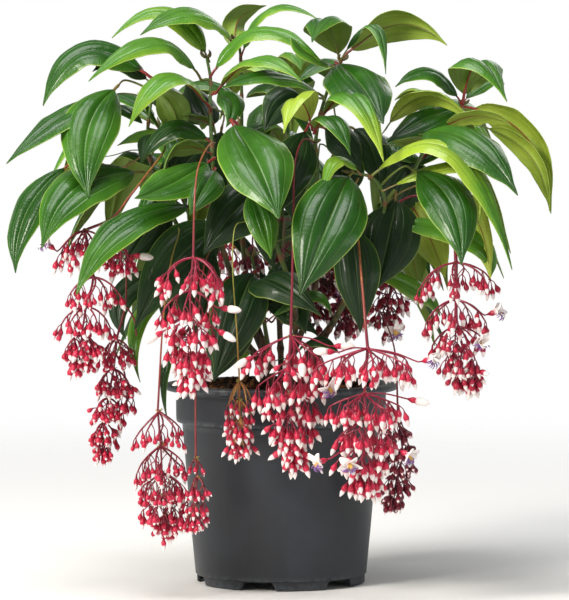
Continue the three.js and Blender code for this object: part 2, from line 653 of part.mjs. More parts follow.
/** Open flower: a cupped star of four petals in one plate. */
function flower(centre, looking) {
  const axis = vector(looking).normalize();
  const [first, second] = squareTo(axis);
  const star = [];
  for (let i = 0; i < PETALS; i++) {
    const turn = ((i + 0.5) * 2 * Math.PI) / PETALS;
    for (const [angle, radius, forward] of PETAL_OUTLINE) star.push([turn + angle, radius, forward]);
  }
  const skin = new Skin();
  const [back, front] = [-PETAL_THICKNESS, 0].map((lift) => star.map(([angle, radius, forward]) => {
    const point = centre.clone().addScaledVector(axis, forward + lift);
    point.addScaledVector(first, radius * Math.cos(angle)).addScaledVector(second, radius * Math.sin(angle));
    return skin.points.push(point) - 1;
  }));
  skin.wall(back, front);
  skin.close(front, centre.clone());
  skin.close(back.reverse(), centre.clone().addScaledVector(axis, -3 * PETAL_THICKNESS));
  return skin.solid();
}

/** One hanging spray: peduncle, whorled branches, buds and open flowers in one body. */
function spray({ route, length, reach, whorls, branches, turn, buds, flowers }) {
  const top = vector(route.at(-1));
  const end = top.clone().add(new THREE.Vector3(0, 0, -length + BUD_LENGTH));
  const curve = new THREE.CatmullRomCurve3(route.map(vector), false, 'centripetal');
  const skin = new Skin();
  const steps = Math.ceil(PEDUNCLE_STEPS * (route.length - 1));
  let ring = skin.ring(curve.getPoint(0), curve.getTangent(0), PEDUNCLE_RADIUS, branches, turn);
  skin.close([...ring].reverse(), curve.getPoint(0));
  const extend = (centre, along, angle = 0) => {
    const next = skin.follow(ring, centre, along, PEDUNCLE_RADIUS, angle);
    const sides = skin.wall(ring, next);
    ring = next;
    return sides;
  };
  for (let i = 1; i < steps; i++) extend(curve.getPoint(i / steps), curve.getTangent(i / steps));
  const down = new THREE.Vector3(0, 0, -1);
  for (let k = 0; k < whorls; k++) {
    const share = k / whorls;
    const node = top.clone().lerp(end, share ** 0.9);
    extend(node, down, WHORL_TURN);
    const sides = extend(node.clone().addScaledVector(down, 2 * PEDUNCLE_RADIUS), down);
    const arm = Math.max(SHORTEST_ARM, reach * (1 - REACH_LOST * share) - 0.5 * BUD_LENGTH);
    sides.forEach((side) => growBranch(skin, side, arm, Math.max(1, Math.round(buds - 2 * share))));
  }
  extend(end, down, WHORL_TURN);
  skin.close(ring, end.clone().addScaledVector(down, BUD_LENGTH));
  const solids = [skin.solid()];
  for (const [place, looking] of flowers) {
    const centre = vector(place);
    const height = THREE.MathUtils.clamp(centre.z + FLOWER_FALL, end.z, top.z);
    const root = top.clone().lerp(end, (top.z - height) / (top.z - end.z));
    const behind = centre.clone().addScaledVector(vector(looking).normalize(), -PETAL_THICKNESS);
    solids.push(strut(root, behind, BRANCH_RADIUS, 3), flower(centre, looking));
  }
  return fuse(solids);
}

// ---------------------------------------------------------------- the plant

const PLASTIC = { color: 0x3d444b, roughness: 0.55 };
const PEAT = { color: 0x2a1c12, roughness: 0.95 };
const FOLIAGE = { color: 0x2e6b2c, roughness: 0.35 };
const BLOSSOM = { color: 0xd02848, roughness: 0.45 };

const medinilla = new THREE.Group();
medinilla.add(meshOf('pot', pot(), PLASTIC));
medinilla.add(meshOf('soil', soil(), PEAT));
for (const name of Object.keys(STEMS)) medinilla.add(meshOf(`stem_${name}`, leafyStem(name), FOLIAGE));
for (const [name, row] of Object.entries(SPRAYS)) medinilla.add(meshOf(`spray_${name}`, spray(row), BLOSSOM));

export default medinilla;
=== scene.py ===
"""A flowering medinilla in its nursery pot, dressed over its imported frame.

Places and sizes of the plant are in millimetres, in the frame of the part: +Z up, the origin at the
middle of the pot's underside, -Y the front.  Each mesh is scaled to metres when it is made.
"""

from __future__ import annotations

import logging
import math
import random
from collections.abc import Sequence
from dataclasses import dataclass, field
from enum import Enum

import bpy
import numpy as np
from bpy.types import Material, NodeSocket
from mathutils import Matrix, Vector, noise

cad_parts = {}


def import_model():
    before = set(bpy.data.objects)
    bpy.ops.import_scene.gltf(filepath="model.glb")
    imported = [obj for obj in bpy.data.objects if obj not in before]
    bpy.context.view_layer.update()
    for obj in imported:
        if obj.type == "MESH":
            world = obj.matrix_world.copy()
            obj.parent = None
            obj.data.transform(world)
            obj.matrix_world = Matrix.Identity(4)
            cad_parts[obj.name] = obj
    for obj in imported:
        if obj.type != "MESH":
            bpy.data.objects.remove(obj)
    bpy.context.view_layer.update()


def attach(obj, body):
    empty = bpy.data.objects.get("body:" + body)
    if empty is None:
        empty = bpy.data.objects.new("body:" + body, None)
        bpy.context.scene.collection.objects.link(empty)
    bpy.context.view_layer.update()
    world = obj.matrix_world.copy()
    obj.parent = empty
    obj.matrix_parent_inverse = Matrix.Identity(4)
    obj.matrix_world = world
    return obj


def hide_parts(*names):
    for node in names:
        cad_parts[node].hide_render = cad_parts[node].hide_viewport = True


log = logging.getLogger("medinilla")

MM = 0.001
BODY = "root"
CURVE_STEPS = 24
VEINS = (0.38, 0.7)
DOWN = np.array([0.0, 0.0, -1.0])
UP = np.array([0.0, 0.0, 1.0])
Triple = tuple[float, float, float]
Stops = tuple[tuple[float, str], ...]
Array = np.ndarray
Values = float | Sequence[float] | Array
Wire = NodeSocket | float | str | Triple


class Look(Enum):
    """How old a leaf is, from mature green to fresh yellow-green; the nearly black green of the darkest look
    is painted shade for leaves inside the foliage.
    """

    # Near-black green, painted shade for leaves deep inside the foliage.
    DEEP_SHADE = 0.0
    MATURE = 0.3
    BRIGHT = 0.62
    YOUNG = 1.0


DEEP_SHADE, MATURE, BRIGHT, YOUNG = Look


class Tone(Enum):
    """How dark the buds and stalks of a spray are: ruby is a darker crimson of its own, while the two darkest
    tones are painted shade for sprays behind and inside the foliage.
    """

    CRIMSON = 0.0
    RUBY = 0.28
    # Painted shade for sprays behind and inside the foliage.
    GARNET_SHADE = 0.55
    MAROON_SHADE = 0.85


# ---- small geometry ----


def unit(direction: Sequence[float] | Array) -> Array:
    """Give a direction the length of one."""
    arrow = np.asarray(direction, float)
    return arrow / max(float(np.linalg.norm(arrow)), 1e-9)


def square_to(axis: Array) -> tuple[Array, Array]:
    """Find two directions square to an axis, which make a right-handed set with it."""
    first = unit(np.cross(UP if abs(axis[2]) < 0.9 else (1.0, 0.0, 0.0), axis))
    return first, np.cross(axis, first)


def outward(angle: float, rise: float = 0.0) -> Array:
    """Point away from the Z axis at an angle in radians."""
    return np.array([math.cos(angle), math.sin(angle), rise])


def ring(radius: float | Array, angles: Array, height: float | Array) -> Array:
    """Place points round the Z axis at angles in radians, one row each."""
    return np.stack([radius * np.cos(angles), radius * np.sin(angles), np.full(len(angles), height)], axis=1)


def circle(sides: int) -> Array:
    """Give evenly spaced angles once round, in radians."""
    return np.arange(sides) / sides * 2 * math.pi


def distances_along(line: Array) -> Array:
    """Measure how far along a line each of its points is."""
    return np.concatenate([[0.0], np.cumsum(np.linalg.norm(np.diff(line, axis=0), axis=1))])


def directions_of(path: Array) -> Array:
    """Find the direction of a path at each of its points."""
    steps = np.gradient(path, axis=0)
    return steps / np.maximum(np.linalg.norm(steps, axis=1, keepdims=True), 1e-9)


def smooth_through(places: Sequence[Sequence[float]], count: int) -> Array:
    """Lay a smooth curve through places and step along it evenly.

    Args:
        places: the places, in order.
        count: how many points to give back.

    Returns:
        The points of the curve, one row each.
    """
    knots = [np.asarray(place, float) for place in places]
    knots = [2 * knots[0] - knots[1], *knots, 2 * knots[-1] - knots[-2]]
    steps = np.linspace(0, 1, CURVE_STEPS, endpoint=False)[:, None]
    dense = []
    for before, start, end, after in zip(knots, knots[1:], knots[2:], knots[3:]):
        pairs = ((before, start), (start, end), (end, after))
        first, gap, last = (max(math.sqrt(np.linalg.norm(b - a)), 1e-4) for a, b in pairs)
        leaving = ((start - before) / first - (end - before) / (first + gap) + (end - start) / gap) * gap
        arriving = ((end - start) / gap - (after - start) / (gap + last) + (after - end) / last) * gap
        square = -3 * start + 3 * end - 2 * leaving - arriving
        cube = 2 * start - 2 * end + leaving + arriving
        dense.append(start + leaving * steps + square * steps**2 + cube * steps**3)
    line = np.vstack([*dense, knots[-2][None]])
    travelled = distances_along(line)
    stations = np.linspace(0, travelled[-1], count)
    return np.stack([np.interp(stations, travelled, line[:, k]) for k in range(3)], axis=1)


def bumps_at(place: Sequence[float] | Array) -> float:
    """Read smooth noise, from -1 to 1, at a place."""
    return noise.noise(Vector(place))


def paint_rows(count: int, **channels: Values) -> Array:
    """Fill the four painted values of some points.

    Args:
        count: how many points.
        channels: r, g, b and a, each one number or one for each point.

    Returns:
        One row of four values for each point.
    """
    rows = np.zeros((count, 4))
    for place, key in enumerate("rgba"):
        rows[:, place] = channels.get(key, 0.0)
    return rows


def paint_grid(across: Array, along: Array) -> Array:
    """Paint a sheet with its places across, from -1 to 1, and along, from 0 to 1."""
    wide, high = np.meshgrid(0.5 + 0.5 * across, along)
    return np.stack([wide, high, np.zeros_like(wide), np.zeros_like(wide)], axis=-1)


# ---- meshes ----


@dataclass
class Shell:
    """Collects closed skins and makes one mesh object of them.

    Every point carries four painted values, which the finishes read for their patterns.
    """

    points: list[Array] = field(default_factory=list)
    paints: list[Array] = field(default_factory=list)
    faces: list[Array] = field(default_factory=list)
    slots: list[int] = field(default_factory=list)
    count: int = 0

    def add(self, points: Array, paints: Array) -> int:
        """Add points.

        Args:
            points: one row for each point.
            paints: one row of four values for each point.

        Returns:
            The number of the first of them.
        """
        self.points.append(points)
        self.paints.append(paints)
        self.count += len(points)
        return self.count - len(points)

    def join(self, faces: Array, slot: int = 0) -> None:
        """Add faces of one size, given as rows of point numbers."""
        self.faces.append(faces)
        self.slots.append(slot)

    def skin(self, rings: Sequence[Array], ends: Array, paints: Array, slot: int = 0) -> None:
        """Add a closed skin over rings of points, with a fan of faces at both ends.

        Args:
            rings: the points of each ring, all equally many.
            ends: the middle points of the first and the last end.
            paints: four values for each point of the rings, and then for both ends.
            slot: the place of the finish.
        """
        sides = len(rings[0])
        here = self.add(np.vstack([*rings, ends]), paints) + np.arange(sides)
        after = np.roll(here, -1)
        rows = np.arange(len(rings) - 1)[:, None] * sides
        walls = np.stack([here + rows, after + rows, after + rows + sides, here + rows + sides], axis=-1)
        self.join(walls.reshape(-1, 4), slot)
        last, foot = (len(rings) - 1) * sides, here[0] + len(rings) * sides
        self.join(np.stack([after, here, np.full(sides, foot)], axis=-1), slot)
        self.join(np.stack([here + last, after + last, np.full(sides, foot + 1)], axis=-1), slot)

    def tube(self, path: Array, radii: Values, sides: int, slot: int = 0, **channels: Values) -> None:
        """Add a round rod with closed ends.

        Args:
            path: its centre line.
            radii: its radius, or one for each point of the line.
            sides: the number of its sides.
            slot: the place of its finish.
            channels: the painted values, each one number or one for each point of the line.
        """
        along = directions_of(path)
        first, _ = square_to(along[0])
        angles = circle(sides)
        rings = []
        for place, axis, radius in zip(path, along, np.broadcast_to(radii, len(path))):
            first = unit(first - axis * float(first @ axis))
            second = np.cross(axis, first)
            arms = np.outer(np.cos(angles), first) + np.outer(np.sin(angles), second)
            rings.append(place + radius * arms)
        paints = paint_rows(len(path), **channels)
        self.skin(rings, path[[0, -1]], np.vstack([np.repeat(paints, sides, axis=0), paints[[0, -1]]]), slot)

    def sheet(self, middle: Array, offset: Array, paints: Array, under: int) -> None:
        """Add a thin closed sheet with its own upper and lower face.

        Args:
            middle: rows and columns of points halfway through it, columns running to its right.
            offset: how far its upper face lies from there, for each point.
            paints: rows and columns of four values.
            under: the place of the lower face's finish; the upper face takes the first.
        """
        rows, columns = middle.shape[:2]
        flat = paints.reshape(-1, 4)
        faces = np.vstack([(middle + offset).reshape(-1, 3), (middle - offset).reshape(-1, 3)])
        start = self.add(faces, np.vstack([flat, flat]))
        ids = start + np.arange(rows * columns).reshape(rows, columns)
        quads = np.stack([ids[:-1, :-1], ids[:-1, 1:], ids[1:, 1:], ids[1:, :-1]], axis=-1).reshape(-1, 4)
        self.join(quads)
        self.join(quads[:, ::-1] + rows * columns, under)
        edge = np.concatenate([ids[0, :], ids[1:, -1], ids[-1, -2::-1], ids[-2:0:-1, 0]])
        below = edge + rows * columns
        self.join(np.stack([edge, below, np.roll(below, -1), np.roll(edge, -1)], axis=-1))

    def copy(self, form: Form, place: Array, axis: Array, size: float, paint: Array,
             spin: float, slot: int = 0) -> None:
        """Add a copy of a form.

        Args:
            form: the form, standing along +Z from its origin.
            place: the origin of the copy.
            axis: its unit direction.
            size: how many times as large it is.
            paint: one row of values, added to those of the form.
            spin: its turn about its axis, in radians.
            slot: the place of the finish.
        """
        first, second = square_to(axis)
        across = first * math.cos(spin) + second * math.sin(spin)
        turn = np.stack([across, np.cross(axis, across), axis])
        start = self.add(place + size * form.points @ turn, form.paints + paint)
        for faces in form.faces:
            self.join(faces + start, slot)

    def make(self, name: str, materials: Sequence[Material]) -> bpy.types.Object:
        """Turn what was collected into one smooth mesh object.

        Args:
            name: the object's name.
            materials: its finishes, in the order of their places.

        Returns:
            The object, in the scene.
        """
        mesh = bpy.data.meshes.new(name)
        faces = [row for block in self.faces for row in block.tolist()]
        mesh.from_pydata((np.vstack(self.points) * MM).tolist(), [], faces)
        slots = np.repeat(self.slots, [len(block) for block in self.faces])
        mesh.polygons.foreach_set("material_index", slots.astype(np.int32))
        mesh.polygons.foreach_set("use_smooth", np.ones(len(faces), bool))
        layer = mesh.attributes.new("paint", "FLOAT_COLOR", "POINT")
        layer.data.foreach_set("color", np.vstack(self.paints).astype(np.float32).ravel())
        for material in materials:
            mesh.materials.append(material)
        made = bpy.data.objects.new(name, mesh)
        bpy.context.scene.collection.objects.link(made)
        log.info("%s: %d faces", name, len(faces))
        return made


@dataclass
class Form:
    """A small closed form that is placed many times."""

    points: Array
    paints: Array
    faces: list[Array]

    @classmethod
    def turned(cls, profile: Sequence[Triple], sides: int, flute: float = 0.0) -> Form:
        """Turn a profile about +Z.

        Args:
            profile: height, radius and painted place of each ring, from the foot to the tip.
            sides: the number of sides.
            flute: how deep the folded petals of the upper half are set off, as a share.

        Returns:
            The form.
        """
        angles = circle(sides)
        rings = []
        for height, radius, mark in profile:
            wave = 1 + flute * max(mark - 0.5, 0) * np.cos(4 * angles + 0.35 * height)
            rings.append(ring(radius * wave, angles, height))
        marks = np.array([mark for _, _, mark in profile])
        painted = np.concatenate([np.repeat(marks, sides), marks[[0, -1]]])
        ends = np.array([[0, 0, profile[0][0]], [0, 0, profile[-1][0] + 0.2]])
        shell = Shell()
        shell.skin(rings, ends, paint_rows(len(painted), r=painted))
        return cls(shell.points[0], shell.paints[0], shell.faces)

    @classmethod
    def lump(cls, rough: float, seed: int) -> Form:
        """Make a rough crumb about one millimetre in radius.

        Args:
            rough: how uneven it is, as a share of its radius.
            seed: picks one of many.

        Returns:
            The form.
        """
        sides, levels = 7, 5
        rings = []
        for k in range(1, levels):
            tilt = math.pi * k / levels
            turns = math.tau * (np.arange(sides) + 0.5 * (k % 2)) / sides
            rings.append(ring(math.sin(tilt), turns, -math.cos(tilt)))
        shell = Shell()
        shell.skin(rings, np.array([DOWN, UP]), np.zeros((sides * len(rings) + 2, 4)))
        shaped = np.array([p * (1 + rough * bumps_at(p * 1.3 + seed * 7.1)) for p in shell.points[0]])
        return cls(shaped, shell.paints[0], shell.faces)


def place_piece(piece: bpy.types.Object, node: str) -> None:
    """Let a piece ride on the pot and stand for a node of the frame.

    Args:
        piece: the dressed piece.
        node: the node that it stands for.
    """
    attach(piece, BODY)
    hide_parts(node)


# ---- finishes ----


def colour(code: str) -> tuple[float, float, float, float]:
    """Read a colour written as #rrggbb, and give its linear values with an alpha of one."""
    shares = [int(code[k:k + 2], 16) / 255 for k in (1, 3, 5)]
    return (*(s / 12.92 if s <= 0.04045 else ((s + 0.055) / 1.055) ** 2.4 for s in shares), 1.0)


class Nodes:
    """Lays out and links the nodes of a material or of the room."""

    def __init__(self, owner: Material | bpy.types.World) -> None:
        """Start with no nodes.

        Args:
            owner: the material or room that they belong to.
        """
        owner.use_nodes = True
        self.tree = owner.node_tree
        self.tree.nodes.clear()

    def feed(self, socket: NodeSocket, value: Wire) -> None:
        """Link a socket to an output, or set it to a value.

        Args:
            socket: the socket.
            value: an output, a number or a written colour.
        """
        if isinstance(value, NodeSocket):
            self.tree.links.new(value, socket)
        else:
            socket.default_value = colour(value) if isinstance(value, str) else value

    def node(self, kind: str, inputs: dict[int | str, Wire], **options: str) -> bpy.types.Node:
        """Add a node.

        Args:
            kind: its type, without the words that all of them start with.
            inputs: what goes into its sockets, by number or name.
            options: its own settings.

        Returns:
            The node.
        """
        made = self.tree.nodes.new(f"ShaderNode{kind}")
        for option, value in options.items():
            setattr(made, option, value)
        for key, value in inputs.items():
            self.feed(made.inputs[key], value)
        return made

    def calc(self, kind: str, first: Wire, second: Wire = 0.0, third: Wire = 0.0) -> NodeSocket:
        """Work out one value from up to three by the named kind of sum."""
        return self.node("Math", {0: first, 1: second, 2: third}, operation=kind).outputs[0]


class Recipe(Nodes):
    """Lays out the nodes of one material."""

    def __init__(self, name: str) -> None:
        """Start an empty material.

        Args:
            name: its name.
        """
        self.material = bpy.data.materials.new(name)
        super().__init__(self.material)
        self.coordinates = self.node("TexCoord", {}).outputs["Object"]

    def painted(self) -> tuple[Wire, Wire, Wire, Wire]:
        """Read the painted values of the surface.

        Returns:
            The four values.
        """
        paint = self.node("Attribute", {}, attribute_name="paint")
        parts = self.node("SeparateColor", {0: paint.outputs["Color"]})
        return parts.outputs[0], parts.outputs[1], parts.outputs[2], paint.outputs["Alpha"]

    def times(self, value: Wire, share: Wire) -> NodeSocket:
        """Multiply a value by another."""
        return self.calc("MULTIPLY", value, share)

    def scaled(self, value: Wire, scale: float, start: Wire) -> NodeSocket:
        """Multiply a value and add the result to another."""
        return self.calc("MULTIPLY_ADD", value, scale, start)

    def varied(self, value: Wire, chance: Wire, reach: float) -> NodeSocket:
        """Shift a value up and down by a chance value."""
        return self.scaled(self.calc("SUBTRACT", chance, 0.5), reach, value)

    def rest(self, share: Wire) -> NodeSocket:
        """Give what a share leaves of one."""
        return self.calc("SUBTRACT", 1.0, share)

    def between(self, value: Wire, low: float, high: float) -> NodeSocket:
        """Ease from 0 to 1 as a value goes from low to high."""
        inputs = {"Value": value, "From Min": low, "From Max": high}
        return self.node("MapRange", inputs, interpolation_type="SMOOTHSTEP").outputs["Result"]

    def blend(self, factor: Wire, first: Wire, second: Wire) -> NodeSocket:
        """Mix two colours by the share of the second."""
        return self.node("Mix", {0: factor, 6: first, 7: second}, data_type="RGBA").outputs[2]

    def wash(self, base: Wire, over: Wire, factor: Wire, most: float) -> NodeSocket:
        """Lay a thin colour over a base, covering at most a share of it where the factor is 1."""
        return self.blend(self.times(factor, most), base, over)

    def ramp(self, value: Wire, stops: Stops) -> NodeSocket:
        """Turn a value into a colour.

        Args:
            value: the value, from 0 to 1.
            stops: the colours, each with the value where it stands.

        Returns:
            The colour.
        """
        node = self.node("ValToRGB", {0: value})
        band = node.color_ramp
        while len(band.elements) < len(stops):
            band.elements.new(0.5)
        for element, (place, code) in zip(band.elements, stops):
            element.position = place
            element.color = colour(code)
        return node.outputs["Color"]

    def grain(self, scale: float, detail: float, stretch: Triple = (1, 1, 1)) -> NodeSocket:
        """Make cloudy noise in the object's own space, with a number of patches to the metre."""
        place = self.node("Mapping", {"Vector": self.coordinates, "Scale": stretch}).outputs["Vector"]
        return self.node("TexNoise", {"Vector": place, "Scale": scale, "Detail": detail}).outputs["Fac"]

    def relief(self, height: Wire, strength: float, depth: float, below: Wire | None = None) -> NodeSocket:
        """Turn a height into fine relief.

        Args:
            height: the height, from 0 to 1.
            strength: how strongly it shows.
            depth: the depth of the relief in metres.
            below: coarser relief that this lies on.

        Returns:
            The normal.
        """
        inputs = {"Height": height, "Strength": strength, "Distance": depth}
        if below is not None:
            inputs["Normal"] = below
        return self.node("Bump", inputs).outputs["Normal"]

    def surface(self, base: Wire, roughness: Wire, normal: Wire | None = None, **others: Wire) -> Material:
        """Close the material with its shader.

        Args:
            base: the colour.
            roughness: the roughness.
            normal: the relief.
            others: what goes into other sockets, by name with underscores.

        Returns:
            The material.
        """
        shader = self.node("BsdfPrincipled", {"Base Color": base, "Roughness": roughness})
        if normal is not None:
            self.feed(shader.inputs["Normal"], normal)
        for name, value in others.items():
            self.feed(shader.inputs[name.replace("_", " ")], value)
        self.node("OutputMaterial", {0: shader.outputs[0]})
        return self.material


@dataclass(frozen=True)
class SlatePlastic:
    """Moulded slate-grey pot plastic: fine grain, faint flow marks, dust, and lighter edges that are partly
    rubbed wear and partly painted highlight.

    The first painted value marks the edges. They are lightened as rubbed wear and as a painted highlight
    along the rim and the step below the band.
    """

    body: str = "#1b1f25"
    dusty: str = "#272d35"
    rubbed_and_highlight: str = "#4b5157"
    flow_stretch: Triple = (1, 1, 0.08)

    def material(self) -> Material:
        """Build the material.

        Returns:
            The material.
        """
        recipe = Recipe("slate_plastic")
        edge, _, _, _ = recipe.painted()
        cloud = recipe.grain(22, 4)
        flow = recipe.grain(60, 3, self.flow_stretch)
        speck = recipe.grain(900, 2)
        base = recipe.blend(recipe.between(cloud, 0.4, 0.75), self.body, self.dusty)
        base = recipe.wash(base, self.dusty, recipe.between(flow, 0.5, 0.8), 0.35)
        # Lighten the marked edges: rubbed wear, and a painted highlight along the rim and the step.
        worn_and_highlit = recipe.times(edge, recipe.between(recipe.grain(240, 5), 0.35, 0.62))
        base = recipe.wash(base, self.rubbed_and_highlight, worn_and_highlit, 0.7)
        normal = recipe.relief(speck, 0.25, 0.0002, recipe.relief(flow, 0.25, 0.0004))
        return recipe.surface(base, recipe.scaled(cloud, 0.25, 0.34), normal, Specular_IOR_Level=0.5)


@dataclass(frozen=True)
class Peat:
    """Crumbly brown potting peat.

    The painted values are the paleness and a chance value.
    """

    dark: str = "#120b07"
    brown: str = "#382316"
    rusty: str = "#744a2a"

    def material(self) -> Material:
        """Build the material.

        Returns:
            The material.
        """
        recipe = Recipe("peat")
        pale, chance, _, _ = recipe.painted()
        coarse = recipe.grain(320, 5)
        fine = recipe.grain(1500, 4)
        base = recipe.blend(recipe.between(coarse, 0.38, 0.62), self.dark, self.brown)
        base = recipe.blend(recipe.times(recipe.between(fine, 0.55, 0.75), chance), base, self.rusty)
        base = recipe.blend(pale, base, self.rusty)
        normal = recipe.relief(fine, 0.8, 0.0006, recipe.relief(coarse, 0.9, 0.0015))
        return recipe.surface(base, 0.92, normal, Specular_IOR_Level=0.25)


class LeafRecipe(Recipe):
    """Lays out what both faces of a leaf share: their veins and how their green varies.

    The painted values are the place across, the place along, the youth, whose lowest values are painted shade
    for leaves inside the foliage, and a chance value.
    """

    def __init__(self, name: str) -> None:
        """Start an empty material and read the painted values.

        Args:
            name: its name.
        """
        super().__init__(name)
        across, self.along, self.youth, self.chance = self.painted()
        self.aside = self.calc("ABSOLUTE", self.scaled(across, 2.0, -1.0))

    def age(self, cloud: Wire, in_patches: float, by_chance: float) -> NodeSocket:
        """Vary the youth and its painted shade from patch to patch and from leaf to leaf."""
        return self.varied(self.varied(self.youth, cloud, in_patches), self.chance, by_chance)

    def rib(self, inner: float, outer: float) -> NodeSocket:
        """Mark the middle rib, which fades out from its inner to its outer edge."""
        return self.rest(self.between(self.aside, inner, outer))

    def long_veins(self, width: float) -> NodeSocket:
        """Mark the long veins at both sides of the rib.

        Args:
            width: how far a vein reaches to each side, as a share of half the blade.

        Returns:
            The marks, from 0 to 1.
        """
        marks: Wire = 0.0
        for place in VEINS:
            away = self.calc("ABSOLUTE", self.calc("SUBTRACT", self.aside, place))
            marks = self.calc("MAXIMUM", marks, self.rest(self.between(away, 0.0, width)))
        return marks

    def cross_veins(self, slant: float, count: float, low: float) -> NodeSocket:
        """Mark the fine slanting veins between the long ones, each from a low place on its wave."""
        wave = self.scaled(self.aside, -slant, self.times(self.along, count))
        return self.between(self.calc("SINE", wave), low, 1.0)


@dataclass(frozen=True)
class LeafTop:
    """Glossy upper face of a leaf: long sunken veins, a pale rib and a yellow-green margin."""

    greens: Stops = ((0.0, "#0d2e0a"), (0.3, "#22520f"), (0.62, "#518823"), (1.0, "#9db837"))
    rib: str = "#93b65a"
    margin: str = "#b9cf63"
    vein_width: float = 0.045
    puckering: float = 1.5
    relief_depth: float = 0.0007

    def material(self) -> Material:
        """Build the material.

        Returns:
            The material.
        """
        recipe = LeafRecipe("leaf_top")
        cloud = recipe.grain(38, 3)
        fine = recipe.grain(640, 3)
        pucker = recipe.grain(170, 2)
        edge = recipe.between(recipe.aside, 0.55, 1.0)
        # The greens run from a near-black painted shade for leaves inside the foliage, through mature green,
        # to young yellow-green.
        base = recipe.ramp(recipe.scaled(edge, 0.14, recipe.age(cloud, 0.34, 0.16)), self.greens)
        groove = recipe.long_veins(self.vein_width)
        base = recipe.wash(base, self.rib, groove, 0.05)
        base = recipe.wash(base, self.rib, recipe.rib(0.006, 0.03), 0.22)
        pale = recipe.times(recipe.between(recipe.aside, 0.955, 0.985), recipe.scaled(recipe.youth, 0.5, 0.4))
        base = recipe.blend(pale, base, self.margin)
        height = recipe.scaled(pucker, self.puckering, recipe.times(fine, 0.2))
        height = recipe.calc("SUBTRACT", height, recipe.times(recipe.cross_veins(16.0, 210.0, 0.55), 0.16))
        normal = recipe.relief(recipe.calc("SUBTRACT", height, groove), 0.5, self.relief_depth)
        shade = recipe.rest(recipe.between(recipe.youth, 0.0, 0.22))
        roughness = recipe.scaled(shade, 0.2, recipe.scaled(cloud, 0.24, 0.19))
        return recipe.surface(base, roughness, normal, Specular_IOR_Level=0.36, Coat_Weight=0.2,
                              Coat_Roughness=0.14)


@dataclass(frozen=True)
class LeafUnder:
    """Dull under face of a leaf: olive to lime, its veins standing out in maroon."""

    greens: Stops = ((0.0, "#34501b"), (0.3, "#6c8b2f"), (0.62, "#93ac38"), (1.0, "#bcd052"))
    vein: str = "#6d4a2a"
    rib: str = "#8e2f2c"
    vein_width: float = 0.03
    relief_depth: float = 0.0005

    def material(self) -> Material:
        """Build the material.

        Returns:
            The material.
        """
        recipe = LeafRecipe("leaf_under")
        fine = recipe.grain(600, 3)
        # The darkest olive is painted shade for leaves inside the foliage.
        base = recipe.ramp(recipe.age(recipe.grain(45, 3), 0.3, 0.2), self.greens)
        crossing = recipe.times(recipe.cross_veins(14.0, 170.0, 0.7), 0.1)
        lines = recipe.calc("MAXIMUM", recipe.times(recipe.long_veins(self.vein_width), 0.42), crossing)
        base = recipe.blend(lines, base, self.vein)
        base = recipe.wash(base, self.rib, recipe.rib(0.012, 0.05), 0.45)
        normal = recipe.relief(recipe.scaled(fine, 0.4, lines), 0.4, self.relief_depth)
        return recipe.surface(base, recipe.scaled(fine, 0.15, 0.42), normal, Specular_IOR_Level=0.4)


@dataclass(frozen=True)
class LeafRib:
    """Leaf stalk and the raised rib under the blade: red at the stem, olive towards the tip.

    The first painted value is the place along, the last how green the whole stalk is.
    """

    red: str = "#84282a"
    bright_red: str = "#c25a4a"
    olive: str = "#6f8034"

    def material(self) -> Material:
        """Build the material.

        Returns:
            The material.
        """
        recipe = Recipe("leaf_rib")
        along, _, _, green = recipe.painted()
        streak = recipe.grain(300, 3)
        red = recipe.wash(self.red, self.bright_red, streak, 0.3)
        base = recipe.blend(recipe.between(recipe.varied(along, green, 1.2), 0.1, 0.75), red, self.olive)
        return recipe.surface(base, 0.38, recipe.relief(streak, 0.3, 0.0003), Coat_Weight=0.15)


@dataclass(frozen=True)
class StemBark:
    """Stem skin: brown cork at the foot, smooth green above, with red joints.

    The painted values are the height along the stem and the nearness of a joint.
    """

    cork: str = "#35271a"
    pale_cork: str = "#6b5638"
    green: str = "#4d6b2a"
    joint: str = "#8d3a35"
    fissure_stretch: Triple = (1, 1, 0.22)

    def material(self) -> Material:
        """Build the material.

        Returns:
            The material.
        """
        recipe = Recipe("stem_bark")
        height, joint, _, _ = recipe.painted()
        fissure = recipe.grain(420, 5, self.fissure_stretch)
        bark = recipe.blend(recipe.between(fissure, 0.42, 0.62), self.cork, self.pale_cork)
        ripe = recipe.varied(height, recipe.grain(70, 3), 0.5)
        base = recipe.blend(recipe.between(ripe, 0.25, 0.7), bark, self.green)
        base = recipe.wash(base, self.joint, joint, 0.75)
        return recipe.surface(base, recipe.scaled(fissure, 0.3, 0.4), recipe.relief(fissure, 0.6, 0.0008))


@dataclass(frozen=True)
class FlowerStalk:
    """Stalks of a spray: yellow-green to orange above, magenta-red where the buds hang.

    The first painted value is the redness, the third the darkness, which for sprays inside the foliage is
    painted shade.
    """

    shades: Stops = ((0.0, "#9aa044"), (0.2, "#b08a3c"), (0.4, "#9a4d30"), (0.65, "#7b2434"),
                     (1.0, "#a01d40"))
    dark: str = "#4a0f1e"

    def material(self) -> Material:
        """Build the material.

        Returns:
            The material.
        """
        recipe = Recipe("flower_stalk")
        redness, _, dark, _ = recipe.painted()
        streak = recipe.grain(260, 3)
        base = recipe.ramp(recipe.varied(redness, streak, 0.35), self.shades)
        # Darken towards deep wine by the spray's darkness, which is painted shade for the sprays inside the
        # foliage.
        base = recipe.wash(base, self.dark, dark, 0.8)
        return recipe.surface(base, 0.4, recipe.relief(streak, 0.3, 0.0002), Coat_Weight=0.15)


